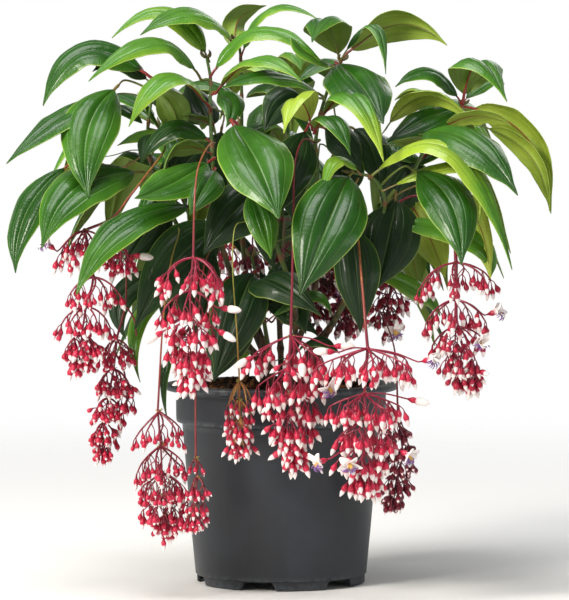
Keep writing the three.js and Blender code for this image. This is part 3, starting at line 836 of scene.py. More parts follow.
@dataclass(frozen=True)
class BudSkin:
    """Waxy bud: crimson cup with a rim, and a white tip of folded petals.

    The painted values are the place from foot to tip, a chance value and the darkness, which for sprays
    inside the foliage is painted shade.
    """

    cup: str = "#bd1a3c"
    bright_cup: str = "#dc3b5e"
    shoulder: str = "#961536"
    shaded_cup: str = "#4d0c1c"
    blush: str = "#e58ba0"
    tip: str = "#f7eeea"
    rim_place: float = 0.49

    def material(self) -> Material:
        """Build the material.

        Returns:
            The material.
        """
        recipe = Recipe("bud_skin")
        place, chance, dark, _ = recipe.painted()
        mottle = recipe.grain(700, 3)
        cup = recipe.blend(recipe.times(mottle, chance), self.cup, self.bright_cup)
        cup = recipe.blend(recipe.rest(recipe.between(place, 0.0, 0.2)), cup, self.shoulder)
        # Darken the cup by the spray's darkness, which is painted shade for the sprays inside the foliage.
        cup = recipe.blend(dark, cup, self.shaded_cup)
        petals = recipe.blend(recipe.between(place, self.rim_place, 0.62), self.blush, self.tip)
        base = recipe.blend(recipe.between(place, self.rim_place, 0.53), cup, petals)
        normal = recipe.relief(mottle, 0.2, 0.0002)
        return recipe.surface(base, 0.36, normal, Specular_IOR_Level=0.38, Coat_Weight=0.12,
                              Coat_Roughness=0.2)


@dataclass(frozen=True)
class Petal:
    """Waxy white petal, a little pink at its foot, with faint veins along it.

    The painted values are the place across and the place along.
    """

    white: str = "#f8f1ee"
    pink: str = "#e9a9bb"
    vein_spacing: float = 42.0

    def material(self) -> Material:
        """Build the material.

        Returns:
            The material.
        """
        recipe = Recipe("petal")
        across, along, _, _ = recipe.painted()
        vein = recipe.between(recipe.calc("SINE", recipe.times(across, self.vein_spacing)), 0.6, 1.0)
        base = recipe.blend(recipe.between(along, 0.0, 0.4), self.pink, self.white)
        base = recipe.wash(base, self.pink, vein, 0.18)
        return recipe.surface(base, 0.45, recipe.relief(vein, 0.2, 0.0002), Specular_IOR_Level=0.4)


@dataclass(frozen=True)
class Stamen:
    """Stamens: yellow threads with curved violet heads.

    The first painted value is the place along.
    """

    yellow: str = "#ecc251"
    violet: str = "#7547a4"

    def material(self) -> Material:
        """Build the material.

        Returns:
            The material.
        """
        recipe = Recipe("stamen")
        along, _, _, _ = recipe.painted()
        speck = recipe.grain(1200, 2)
        base = recipe.blend(recipe.between(along, 0.35, 0.6), self.yellow, self.violet)
        base = recipe.wash(base, self.yellow, speck, 0.2)
        return recipe.surface(base, 0.45, recipe.relief(speck, 0.2, 0.0001))


@dataclass(frozen=True)
class StudioFloor:
    """Plain pale studio floor that fades into the room far from the plant."""

    pale: str = "#f6f6f5"
    shaded: str = "#eeeeec"
    fade_from: float = 0.35
    fade_to: float = 1.7

    def material(self) -> Material:
        """Build the material.

        Returns:
            The material.
        """
        recipe = Recipe("studio_floor")
        base = recipe.wash(self.pale, self.shaded, recipe.grain(1.5, 2), 0.04)
        reach = recipe.node("VectorMath", {0: recipe.coordinates}, operation="LENGTH").outputs["Value"]
        near = recipe.rest(recipe.between(reach, self.fade_from, self.fade_to))
        return recipe.surface(base, 0.85, None, Specular_IOR_Level=0.2, Alpha=near)


@dataclass(frozen=True)
class Finishes:
    """Every finish of the plant, built once."""

    plastic: Material
    peat: Material
    leaf_top: Material
    leaf_under: Material
    leaf_rib: Material
    bark: Material
    stalk: Material
    bud: Material
    petal: Material
    stamen: Material

    @classmethod
    def build(cls) -> Finishes:
        """Build all materials.

        Returns:
            The finishes.
        """
        kinds = (SlatePlastic, Peat, LeafTop, LeafUnder, LeafRib, StemBark, FlowerStalk, BudSkin, Petal,
                 Stamen)
        return cls(*(kind().material() for kind in kinds))


# ---- pot and soil ----


@dataclass
class Pot:
    """Round nursery pot: foot ring with drainage openings, tapered body, band and rolled lip."""

    height: float = 146.0
    rim_radius: float = 85.0
    band_radius: float = 77.0
    shoulder_radius: float = 72.6
    foot_radius: float = 62.6
    ring_radius: float = 61.6
    ring_height: float = 6.4
    step_height: float = 117.0
    wall: float = 2.2
    floor_top: float = 9.2
    openings: int = 6
    opening_height: float = 5.6
    opening_half: float = 12.6
    opening_slope: float = 2.8
    first_opening: float = -15.7
    side_step: float = 2.0
    least_step: float = 0.8

    def profile(self) -> list[tuple[float, float, float, float]]:
        """Half section from the middle of the underside round to the middle of the floor.

        Returns:
            Radius, height, share of the opening's lift and edge mark, for rubbed wear and painted highlight,
            for each point.
        """
        ring_out, foot, band, rim = self.ring_radius, self.foot_radius, self.band_radius, self.rim_radius
        shoulder, step, top, low = self.shoulder_radius, self.step_height, self.height, self.ring_height
        ring_in, inside = ring_out - self.wall, foot - self.wall
        floor, under = self.floor_top, self.floor_top - self.wall
        return [
            (0, under, 0, 0), (40, under, 0, 0), (ring_in - 1.2, under, 0, 0),
            (ring_in - 0.3, under - 0.3, 0, 0), (ring_in, under - 0.9, 0, 0), (ring_in, 0.5, 1, 0),
            (ring_in + 0.4, 0, 1, 0.6),
            (ring_out - 0.4, 0, 1, 1), (ring_out, 0.5, 1, 1), (ring_out + 0.1, low - 0.5, 0, 0),
            (ring_out + 0.3, low, 0, 0.2), (foot + 0.1, low + 0.2, 0, 0.8), (foot + 0.35, low + 0.7, 0, 1),
            (foot + 0.3, low + 1.6, 0, 0.3), (foot + 0.55, low + 4, 0, 0), (foot + 3.4, 40, 0, 0),
            (foot + 6.4, 75, 0, 0), (shoulder - 0.5, step - 5, 0, 0), (shoulder - 0.1, step - 0.8, 0, 0),
            (shoulder + 0.7, step, 0, 0.1), (band - 1.7, step + 0.7, 0, 0.4), (band - 0.6, step + 1.2, 0, 1),
            (band - 0.2, step + 2.2, 0, 0.8), (band, step + 5, 0, 0), (band + 0.1, top - 8, 0, 0),
            (band + 0.3, top - 5.9, 0, 0), (band + 1.2, top - 5.1, 0, 0), (rim - 1.4, top - 4.8, 0, 0.1),
            (rim - 0.4, top - 4.4, 0, 0.6), (rim, top - 3.7, 0, 1), (rim, top - 1.4, 0, 0.7),
            (rim - 0.4, top - 0.5, 0, 1), (rim - 1.2, top - 0.05, 0, 0.8), (rim - 3, top, 0, 0.3),
            (band - 0.6, top, 0, 0.2), (band - 1.6, top - 0.3, 0, 0.8), (band - 2.1, top - 1.1, 0, 0.6),
            (band - 2.3, top - 4, 0, 0), (band - 2.9, step + 3.2, 0, 0), (shoulder - 1.4, step - 0.2, 0, 0),
            (shoulder - 2.3, step - 2, 0, 0), (inside + 0.5, floor + 4, 0, 0),
            (inside - 1, floor + 0.2, 0, 0), (40, floor, 0, 0), (0, floor, 0, 0),
        ]

    def lift(self, angles: Array) -> Array:
        """Work out how far the foot ring's edge is raised over the openings.

        Args:
            angles: compass angles from the front, in degrees.

        Returns:
            The lift at each angle, in millimetres.
        """
        spacing = 360 / self.openings
        away = np.abs((angles - self.first_opening + spacing / 2) % spacing - spacing / 2)
        return self.opening_height * np.clip((self.opening_half - away) / self.opening_slope, 0, 1)

    def angles(self) -> Array:
        """Divide the round: even steps, and one at each corner of an opening.

        Returns:
            The compass angles from the front, in degrees.
        """
        corners = []
        for k in range(self.openings):
            centre = self.first_opening + k * 360 / self.openings
            for half in (self.opening_half, self.opening_half - self.opening_slope):
                corners += [centre - half, centre + half]
        even = np.arange(0, 360, self.side_step)
        kept = [a for a in even if min(abs((a - c + 180) % 360 - 180) for c in corners) > self.least_step]
        return np.sort(np.array([*kept, *(c % 360 for c in corners)]))

    def build(self, finishes: Finishes) -> None:
        """Make the pot and dress it.

        Args:
            finishes: the finishes of the plant.
        """
        angles = self.angles()
        lift = self.lift(angles)
        turns = np.radians(angles)
        first, *rounds, last = self.profile()
        rings = [np.stack([radius * np.sin(turns), -radius * np.cos(turns), height + lifted * lift], axis=1)
                 for radius, height, lifted, _ in rounds]
        edges = np.array([*np.repeat([edge for *_, edge in rounds], len(turns)), first[3], last[3]])
        shell = Shell()
        shell.skin(rings, np.array([[0, 0, first[1]], [0, 0, last[1]]]), paint_rows(len(edges), r=edges))
        place_piece(shell.make("pot_shell", [finishes.plastic]), "pot")


@dataclass
class Soil:
    """Peat in the pot: an uneven mound with crumbs and fibres on it."""

    floor: float = 9.6
    foot_radius: float = 60.0
    step_radius: float = 70.0
    step_height: float = 116.0
    edge_radius: float = 74.2
    edge_height: float = 141.5
    edge_foot: float = 119.5
    mound: float = 7.0
    sides: int = 84
    rounds: int = 28
    crumbs: int = 560
    crumb_sizes: tuple[float, float] = (0.6, 2.3)
    fibres: int = 60
    fibre_length: float = 10.0
    fibre_radii: tuple[float, float] = (0.18, 0.4)
    seed: int = 5

    def height(self, x: float, y: float) -> float:
        """Work out the height of the surface at a place.

        Args:
            x: to the right.
            y: to the back.

        Returns:
            The height above the floor that the pot stands on.
        """
        share = min(math.hypot(x, y) / self.edge_radius, 1.0)
        rough = 1.3 * bumps_at((x * 0.09, y * 0.09, 3.0)) + 0.8 * bumps_at((x * 0.3, y * 0.3, 9.0))
        return self.edge_height + self.mound * (1 - share**2) ** 1.2 + rough

    def surface(self, shell: Shell) -> None:
        """Add the closed body of peat.

        Args:
            shell: takes the mesh.
        """
        turns = circle(self.sides)
        below = ((self.foot_radius, self.floor), (self.step_radius, self.step_height),
                 (self.edge_radius - 1, self.edge_foot))
        rings = [ring(radius, turns, height) for radius, height in below]
        for k in range(self.rounds):
            level = ring(self.edge_radius * (1 - k / self.rounds), turns, 0.0)
            level[:, 2] = [self.height(x, y) for x, y, _ in level]
            rings.append(level)
        ends = np.array([[0, 0, self.floor], [0, 0, self.height(0, 0)]])
        shell.skin(rings, ends, paint_rows(self.sides * len(rings) + 2, g=0.5))

    def crumb(self, shell: Shell, forms: Sequence[Form], rng: random.Random) -> None:
        """Drop one crumb on the surface.

        Args:
            shell: takes the mesh.
            forms: the forms to choose from.
            rng: the soil's seeded draws.
        """
        radius, turn = (self.edge_radius - 3) * math.sqrt(rng.random()), rng.random() * math.tau
        x, y = radius * math.cos(turn), radius * math.sin(turn)
        size = rng.uniform(*self.crumb_sizes)
        spot = np.array([x, y, self.height(x, y) + 0.35 * size])
        axis = unit([rng.gauss(0, 1) for _ in range(3)])
        mark = paint_rows(1, r=rng.choice([0, 0, 0, 0.5, 0.9]), g=rng.random())
        shell.copy(rng.choice(forms), spot, axis, size, mark, rng.random() * 6)

    def fibre(self, shell: Shell, rng: random.Random) -> None:
        """Lay one fibre on the surface.

        Args:
            shell: takes the mesh.
            rng: the soil's seeded draws.
        """
        radius, turn = (self.edge_radius - 8) * math.sqrt(rng.random()), rng.random() * math.tau
        x, y, heading = radius * math.cos(turn), radius * math.sin(turn), rng.random() * 6.28
        places = []
        for share in (0.0, 0.5, 1.0):
            step = self.fibre_length * share
            place = (x + step * math.cos(heading + share), y + step * math.sin(heading + share))
            rise = 1.6 * math.sin(math.pi * share) - 0.3
            reach = min(1.0, (self.edge_radius - 2) / max(math.hypot(*place), 1))
            place = (place[0] * reach, place[1] * reach)
            places.append((*place, self.height(*place) + rise))
        shell.tube(smooth_through(places, 7), rng.uniform(*self.fibre_radii), 5, r=0.7, g=0.5)

    def build(self, finishes: Finishes) -> None:
        """Make the peat and dress it.

        Args:
            finishes: the finishes of the plant.
        """
        rng = random.Random(self.seed)
        shell = Shell()
        self.surface(shell)
        forms = [Form.lump(0.9, k) for k in range(6)]
        for _ in range(self.crumbs):
            self.crumb(shell, forms, rng)
        for _ in range(self.fibres):
            self.fibre(shell, rng)
        place_piece(shell.make("soil_peat", [finishes.peat]), "soil")


# ---- leaves and stems ----


@dataclass
class Leaf:
    """One leaf on its stalk: the places of its base, middle and tip, its width and where it faces."""

    base: Triple
    over: Triple
    tip: Triple
    width: float
    facing: Triple
    look: Look = Look.MATURE
    fade: float = 0.0
    stalk_radius: float = 0.95
    stalk_red: float | None = None
    sag: float = 0.0
    plain: bool = False

    thickness: float = 0.6
    stalk_share: float = 0.06
    fold: float = 0.16
    droop: float = 0.34
    quilt: float = 0.11
    ripple: float = 0.075
    rumple: float = 1.2
    swell: float = 0.07
    groove_depth: float = 0.65
    vein_depths: tuple[float, float] = (0.32, 0.2)
    vein_width: float = 0.06
    few_columns: tuple[float, ...] = (0.1, 0.24, 0.38, 0.54, 0.7, 0.86, 0.97, 1.0)
    all_columns: tuple[float, ...] = (0.06, 0.18, 0.31, 0.38, 0.45, 0.6, 0.7, 0.8, 0.92, 0.98, 1.0)
    few_rows: int = 22
    all_rows: int = 30
    tip_rows: tuple[float, ...] = (0.925, 0.95, 0.97, 0.985, 0.998)

    @property
    def simple(self) -> bool:
        """Whether fewer rows and columns are enough."""
        return self.plain or self.width < 24

    @property
    def depth(self) -> float:
        """How deep its veins are, against those of a leaf 30 mm wide."""
        return min(self.width / 30, 1.3)

    def along_blade(self, share: Array) -> Array:
        """Turn places along the whole leaf into places along its blade, from 0 to 1."""
        return np.clip((share - self.stalk_share) / (1 - self.stalk_share), 0, 1)

    def spine(self, share: Array, sway: float) -> tuple[Array, Array, Array]:
        """Follow the midrib, which bends over and sways a little.

        Args:
            share: how far along, from 0 at the base to 1 at the tip.
            sway: how far the middle swings sideways, as a share of the width.

        Returns:
            The places, and the directions to the right of the blade and up from it.
        """
        base, over, tip = (np.array(place, float) for place in (self.base, self.over, self.tip))
        control = 2 * over - 0.5 * base - 0.5 * tip
        s = share[:, None]
        places = (1 - s) ** 2 * base + 2 * s * (1 - s) * control + s**2 * tip
        heading = 2 * (1 - s) * (control - base) + 2 * s * (tip - control)
        heading /= np.linalg.norm(heading, axis=1, keepdims=True)
        side = np.cross(heading, unit(self.facing))
        side /= np.maximum(np.linalg.norm(side, axis=1, keepdims=True), 1e-6)
        swing = sway * self.width * np.sin(math.pi * self.along_blade(share))
        return places + side * swing[:, None], side, np.cross(side, heading)

    def columns(self) -> Array:
        """Give the places across the blade, closer together at the veins."""
        half = self.few_columns if self.simple else self.all_columns
        return np.array([*(-h for h in reversed(half)), 0.0, *half])

    def rib_depth(self, half: Array) -> Array:
        """Work out how deep the midrib lies below the blade's own surface."""
        return self.depth * self.groove_depth * np.clip(half / 6, 0, 1)

    def half_widths(self, u: Array) -> Array:
        """Work out the half width of the egg-shaped blade, which is drawn out into a drip tip.

        Args:
            u: the stations along the blade.

        Returns:
            The half width at each station, never thinner than the rib.
        """
        body = np.sin(math.pi * np.clip(u, 0, 1) ** 0.8) ** 0.8 * (1 - 0.45 * u**4)
        drawn = 1 - 0.22 * np.exp(-(((u - 0.93) / 0.05) ** 2))
        half = 0.5 * self.width * np.maximum(body * drawn, 0.0)
        return np.maximum(half, np.where(u < 0.5, 0.9, 0.3))

    def section(self, u: Array, across: Array, rng: random.Random) -> tuple[Array, ...]:
        """Work out the curve across the blade at each station.

        Args:
            u: the stations along the blade.
            across: the places across it, from -1 to 1.
            rng: the plant's seeded draws.

        Returns:
            How far each point lies to the right and how far up, and the seeds of both halves.
        """
        half = self.half_widths(u)
        reach = np.zeros((len(u), len(across)))
        lift = np.zeros((len(u), len(across)))
        fold, droop = self.fold * rng.uniform(0.5, 1.5), self.droop * rng.uniform(0.75, 1.25)
        seeds = rng.uniform(0, 90), rng.uniform(0, 90)
        for j, place in enumerate(across):
            aside, seed = abs(place), seeds[0] if place < 0 else seeds[1]
            swell = np.array([bumps_at((3.2 * t, seed, 0.5)) for t in u])
            reach[:, j] = half * place * (1 + self.swell * swell)
            rise = fold * aside + self.quilt * math.sin(math.pi * min(aside / 0.95, 1.0)) - droop * aside**2
            wave = np.array([bumps_at((5.0 * t, seed, 7.5)) for t in u])
            lift[:, j] = half * (rise + 2.2 * self.ripple * aside**2.5 * wave)
            for vein, depth in zip(VEINS, self.vein_depths):
                near = math.exp(-(((aside - vein) / self.vein_width) ** 2))
                lift[:, j] -= self.depth * depth * near * np.clip(half / 6, 0, 1)
            lift[:, j] -= self.rib_depth(half) * math.exp(-((aside / self.vein_width) ** 2))
        return reach, lift, seeds

    def blade(self, shell: Shell, sway: float, rng: random.Random) -> None:
        """Add the blade.

        Args:
            shell: takes the mesh.
            sway: how far the middle swings sideways, as a share of the width.
            rng: the plant's seeded draws.
        """
        rows = self.few_rows if self.simple else self.all_rows
        share = np.array([*np.linspace(self.stalk_share, 0.9, rows - len(self.tip_rows)), *self.tip_rows])
        places, side, up = self.spine(share, sway)
        across = self.columns()
        aside = np.abs(across)
        u = self.along_blade(share)
        reach, lift, seeds = self.section(u, across, rng)
        surface = places[:, None] + side[:, None] * reach[..., None] + up[:, None] * lift[..., None]
        fading = np.minimum(self.half_widths(u) / 8, 1.0)
        for i, row in enumerate(surface):
            for j, point in enumerate(row):
                coarse = bumps_at(point * 0.055 + seeds[0]) * self.rumple * (0.25 + 0.75 * aside[j])
                fine = bumps_at(point * 0.19 + seeds[1]) * 0.3 * self.rumple * min(aside[j] * 3, 1.0)
                surface[i, j] = point + up[i] * (coarse + fine) * fading[i]
        thick = self.thickness * (1 - 0.45 * aside**4)
        paints = paint_grid(across, u)
        paints[..., 2] = np.clip(self.look.value + self.fade * u**2, 0, 1)[:, None]
        paints[..., 3] = rng.random()
        shell.sheet(surface, up[:, None] * (0.5 * thick)[None, :, None], paints, 1)

    def lead(self, path: Array, joint: Array) -> tuple[Array, float, float]:
        """Lay the way from the stem to the start of the leaf.

        Args:
            path: the rest of the leaf's stalk and rib.
            joint: where the leaf stands on its stem.

        Returns:
            The points of the way, its length, and how far it counts as a long stalk, from 0 to 1.
        """
        gap = float(np.linalg.norm(path[0] - joint))
        far = float(np.clip((gap - 12) / 10, 0, 1))
        if gap <= 3:
            return joint[None], gap, far
        before = path[0] - unit(path[1] - path[0]) * 0.35 * gap
        back = np.array([0.0, 1.0, 0.0]) * 0.22 * max(gap - 10, 0)
        middle = joint + 0.5 * (before - joint) + UP * (0.05 - self.sag) * gap + back
        before = before + DOWN * 0.5 * self.sag * gap + 0.5 * back
        return smooth_through([joint, middle, before, path[0]], 12)[:-1], gap, far

    def stalk(self, shell: Shell, joint: Array, sway: float, rng: random.Random) -> None:
        """Add the stalk, which runs on as the raised rib under the blade.

        Args:
            shell: takes the mesh.
            joint: where the leaf stands on its stem.
            sway: how far the middle swings sideways, as a share of the width.
            rng: the plant's seeded draws.
        """
        share = np.array([0.0, 0.03, *np.linspace(0.06, 0.88, 17)])
        places, _, up = self.spine(share, sway)
        size = min(max(self.width / 32, 0.6), 1.2)
        taper = np.interp(share, [0, 0.06, 0.14, 0.3, 0.88], [1.05, 0.95, 0.62, 0.42, 0.2])
        radii = size * taper * self.stalk_radius
        under = self.rib_depth(self.half_widths(self.along_blade(share))) + radii + 0.02
        path = places - up * (under * np.interp(share, [0.03, 0.08], [0.0, 1.0]))[:, None]
        lead, gap, far = self.lead(path, joint)
        sizes = np.array([*(radii[0] * (1 - 0.42 * far) * np.linspace(1.35, 1.0, len(lead))), *radii])
        lead_along = np.linspace(min(gap / 12, 1.0), 0.7 * far, len(lead))
        along = np.array([*lead_along, *np.maximum(share, 0.7 * far)])
        chance = rng.random()
        green = chance if self.stalk_red is None else 1 - self.stalk_red
        shell.tube(np.vstack([lead, path]), sizes, 7, 2, r=along, a=green)


@dataclass
class Tier:
    """A leaf given by its place on the stem, for the sides and the back of the plant."""

    height: float
    compass: float
    reach: float
    rise: float
    drop: float
    width: float
    look: Look = Look.MATURE

    def leaf(self, line: Array) -> Leaf:
        """Work out the leaf.

        Args:
            line: the points of the stem.

        Returns:
            The leaf at its place.
        """
        above = np.nonzero(line[:, 2] >= self.height)[0]
        base = line[above[0]] if len(above) else line[-1]
        turn = math.radians(self.compass)
        out = np.array([math.sin(turn), math.cos(turn), 0.0])
        over = base + out * 0.52 * self.reach + UP * self.rise
        tip = base + out * self.reach - UP * self.drop
        face = out * 0.5 + UP * 0.85
        return Leaf(tuple(base), tuple(over), tuple(tip), self.width, tuple(face), self.look, plain=True)


@dataclass
class Stem:
    """A woody stem with its leaves."""

    name: str
    radius: float
    foot: tuple[float, float]
    route: Sequence[Triple]
    leaves: Sequence[Leaf] = ()
    tiers: Sequence[Tier] = ()

    foot_heights: Triple = (118.0, 146.0, 158.0)
    joint_spacing: float = 27.0
    joint_width: float = 2.4
    joint_swell: float = 0.28
    bud_length: float = 7.0

    def line(self) -> Array:
        """Give the centre line from inside the peat to the growing end."""
        return smooth_through([*((*self.foot, z) for z in self.foot_heights), *self.route], 160)

    def wood(self, line: Array, rng: random.Random) -> Shell:
        """Make the stem itself, swollen at its joints, with a leaf bud at its end.

        Args:
            line: its centre line.
            rng: the plant's seeded draws.

        Returns:
            The skin of the stem.
        """
        shell = Shell()
        travelled = distances_along(line)
        share = travelled / travelled[-1]
        phase = (travelled + rng.uniform(0, 10)) / self.joint_spacing
        near = np.exp(-(((phase - np.round(phase)) * self.joint_spacing / self.joint_width) ** 2))
        taper = np.interp(share, [0, 0.3, 0.8, 1.0], [1.08, 0.85, 0.52, 0.4])
        joints = near * np.interp(share, [0.3, 0.6], [0.2, 1.0])
        radii = self.radius * taper * (1 + self.joint_swell * near)
        shell.tube(line, radii, 10, r=share, g=joints, a=rng.random())
        ahead = unit(line[-1] - line[-4])
        first, _ = square_to(ahead)
        for lean in (-first, first):
            path = np.stack([line[-1] + ahead * s * self.bud_length + lean * (1.0 + 2.4 * math.sin(s * 2.4))
                             for s in np.linspace(0, 1, 6)])
            shell.tube(path, [0.9, 1.3, 1.4, 1.1, 0.7, 0.25], 6, r=1.0, g=0.4, a=0.5)
        return shell

    def build(self, finishes: Finishes) -> None:
        """Make the stem and its leaves and dress them.

        Args:
            finishes: the finishes of the plant.
        """
        rng = random.Random(sum(map(ord, self.name)))
        line = self.line()
        node = f"stem_{self.name}"
        place_piece(self.wood(line, rng).make(f"wood_{self.name}", [finishes.bark]), node)
        shell = Shell()
        for leaf in [*self.leaves, *(tier.leaf(line) for tier in self.tiers)]:
            joint = line[np.argmin(np.linalg.norm(line - np.array(leaf.base), axis=1))]
            sway = rng.uniform(-0.06, 0.06)
            leaf.blade(shell, sway, rng)
            leaf.stalk(shell, joint, sway, rng)
        dress = [finishes.leaf_top, finishes.leaf_under, finishes.leaf_rib]
        place_piece(shell.make(f"leaves_{self.name}", dress), node)


# ---- flower sprays ----


@dataclass
class Bloom:
    """An open flower: petals round a tuft of curved stamens, on its cup."""

    centre: Triple
    looking: Triple
    open: float = 0.6

    petals: int = 5
    petal_length: float = 10.5
    petal_half: float = 3.3
    thickness: float = 0.4
    stamens: int = 9
    stamen_fan: float = 2.2
    stamen_shape: tuple[tuple[float, float], ...] = ((0, 0), (2.4, 0.7), (4.4, 1.8), (5.4, 3.8), (4.8, 5.8),
                                                     (3.2, 6.8))
    stamen_radii: tuple[float, ...] = (0.28, 0.25, 0.25, 0.3, 0.42, 0.48, 0.42, 0.32, 0.12)

    def petal(self, shell: Shell, axis: Array, out: Array, rng: random.Random) -> None:
        """Add one petal.

        Args:
            shell: takes the mesh.
            axis: where the flower looks.
            out: where the petal points, square to the axis.
            rng: the spray's seeded draws.
        """
        rows, across = np.linspace(0, 1, 12), np.linspace(-1, 1, 9)
        turn = rng.uniform(-0.5, 0.5)
        side = np.cross(axis, out) * math.cos(turn) + axis * math.sin(turn)
        spread = min(max(self.open + rng.uniform(-0.25, 0.25), 0.1), 1.15)
        length = self.petal_length * rng.uniform(0.88, 1.1)
        width = self.petal_half * rng.uniform(0.85, 1.1) * np.sin(math.pi * (0.07 + 0.88 * rows)) ** 0.7
        width = width * (1 - 0.3 * rows**3)
        angle = spread * math.pi / 2 * np.clip(rows * 2.2, 0, 1) + rng.uniform(-0.3, 0.7) * rows**2
        steps = np.stack([np.sin(angle), np.cos(angle)], axis=1) * length / (len(rows) - 1)
        track = np.cumsum(steps, axis=0) - steps[0]
        spine = np.array(self.centre, float) + track[:, :1] * out + track[:, 1:] * axis
        up = np.stack([axis * math.sin(a) - out * math.cos(a) for a in angle])
        cupped = 0.8 * across**2 + 0.2 * np.cos(across * 6)
        surface = spine[:, None] + side * (width[:, None] * across)[..., None]
        surface = surface + up[:, None] * (cupped * np.sin(math.pi * rows * 0.8)[:, None])[..., None]
        shell.sheet(surface[:, ::-1], 0.5 * self.thickness * up[:, None], paint_grid(across, rows), 0)

    def build(self, shell: Shell, rng: random.Random) -> None:
        """Add the flower.

        Args:
            shell: takes the mesh, with the petal finish first and the stamens' second.
            rng: the spray's seeded draws.
        """
        axis = unit(self.looking)
        first, second = square_to(axis)
        centre = np.array(self.centre, float)
        spin = rng.uniform(0, 6.28)
        for k in range(self.petals):
            angle = spin + math.tau * k / self.petals + rng.uniform(-0.2, 0.2)
            self.petal(shell, axis, first * math.cos(angle) + second * math.sin(angle), rng)
        low = unit(DOWN - axis * float(DOWN @ axis) + 0.4 * first * rng.uniform(-1, 1))
        aside = np.cross(axis, low)
        count = len(self.stamen_radii)
        for k in range(self.stamens):
            fan = (k / (self.stamens - 1) - 0.5) * self.stamen_fan
            lean = low * math.cos(fan) + aside * math.sin(fan)
            length = rng.uniform(0.85, 1.15)
            places = [centre + axis * (f * length + 0.4) + lean * o * length for f, o in self.stamen_shape]
            shell.tube(smooth_through(places, count), self.stamen_radii, 6, 1, r=np.linspace(0, 1, count))


CUP_PROFILE = ((0, 0.48, 0), (1.0, 0.82, 0.05), (2.2, 1.4, 0.13), (3.4, 1.96, 0.22), (4.5, 2.08, 0.33),
               (5.4, 1.8, 0.42), (5.75, 1.88, 0.46), (5.9, 1.55, 0.48))
RIPE_TIP = ((6.15, 1.52, 0.54), (7.2, 1.66, 0.6), (8.4, 1.36, 0.72), (9.6, 0.76, 0.85), (10.6, 0.14, 1.0))
SWOLLEN_TIP = ((6.3, 2.0, 0.54), (7.2, 2.55, 0.58), (8.6, 2.86, 0.64), (10.4, 2.82, 0.72), (12.2, 2.5, 0.8),
               (13.8, 1.95, 0.88), (15.1, 1.25, 0.95), (16.0, 0.45, 1.0))
YOUNG_CUP = ((0, 0.48, 0), (1.0, 0.82, 0.05), (2.2, 1.45, 0.13), (3.4, 1.98, 0.22), (4.5, 1.92, 0.32),
             (5.3, 1.54, 0.45), (5.45, 1.2, 0.49), (6.2, 0.92, 0.58), (7.4, 0.14, 0.7))


@dataclass
class Whorl:
    """A ring of branches at one place of a spray."""

    place: Triple
    reach: float
    fullness: float
    branches: int = 5
    fall: float = 0.62


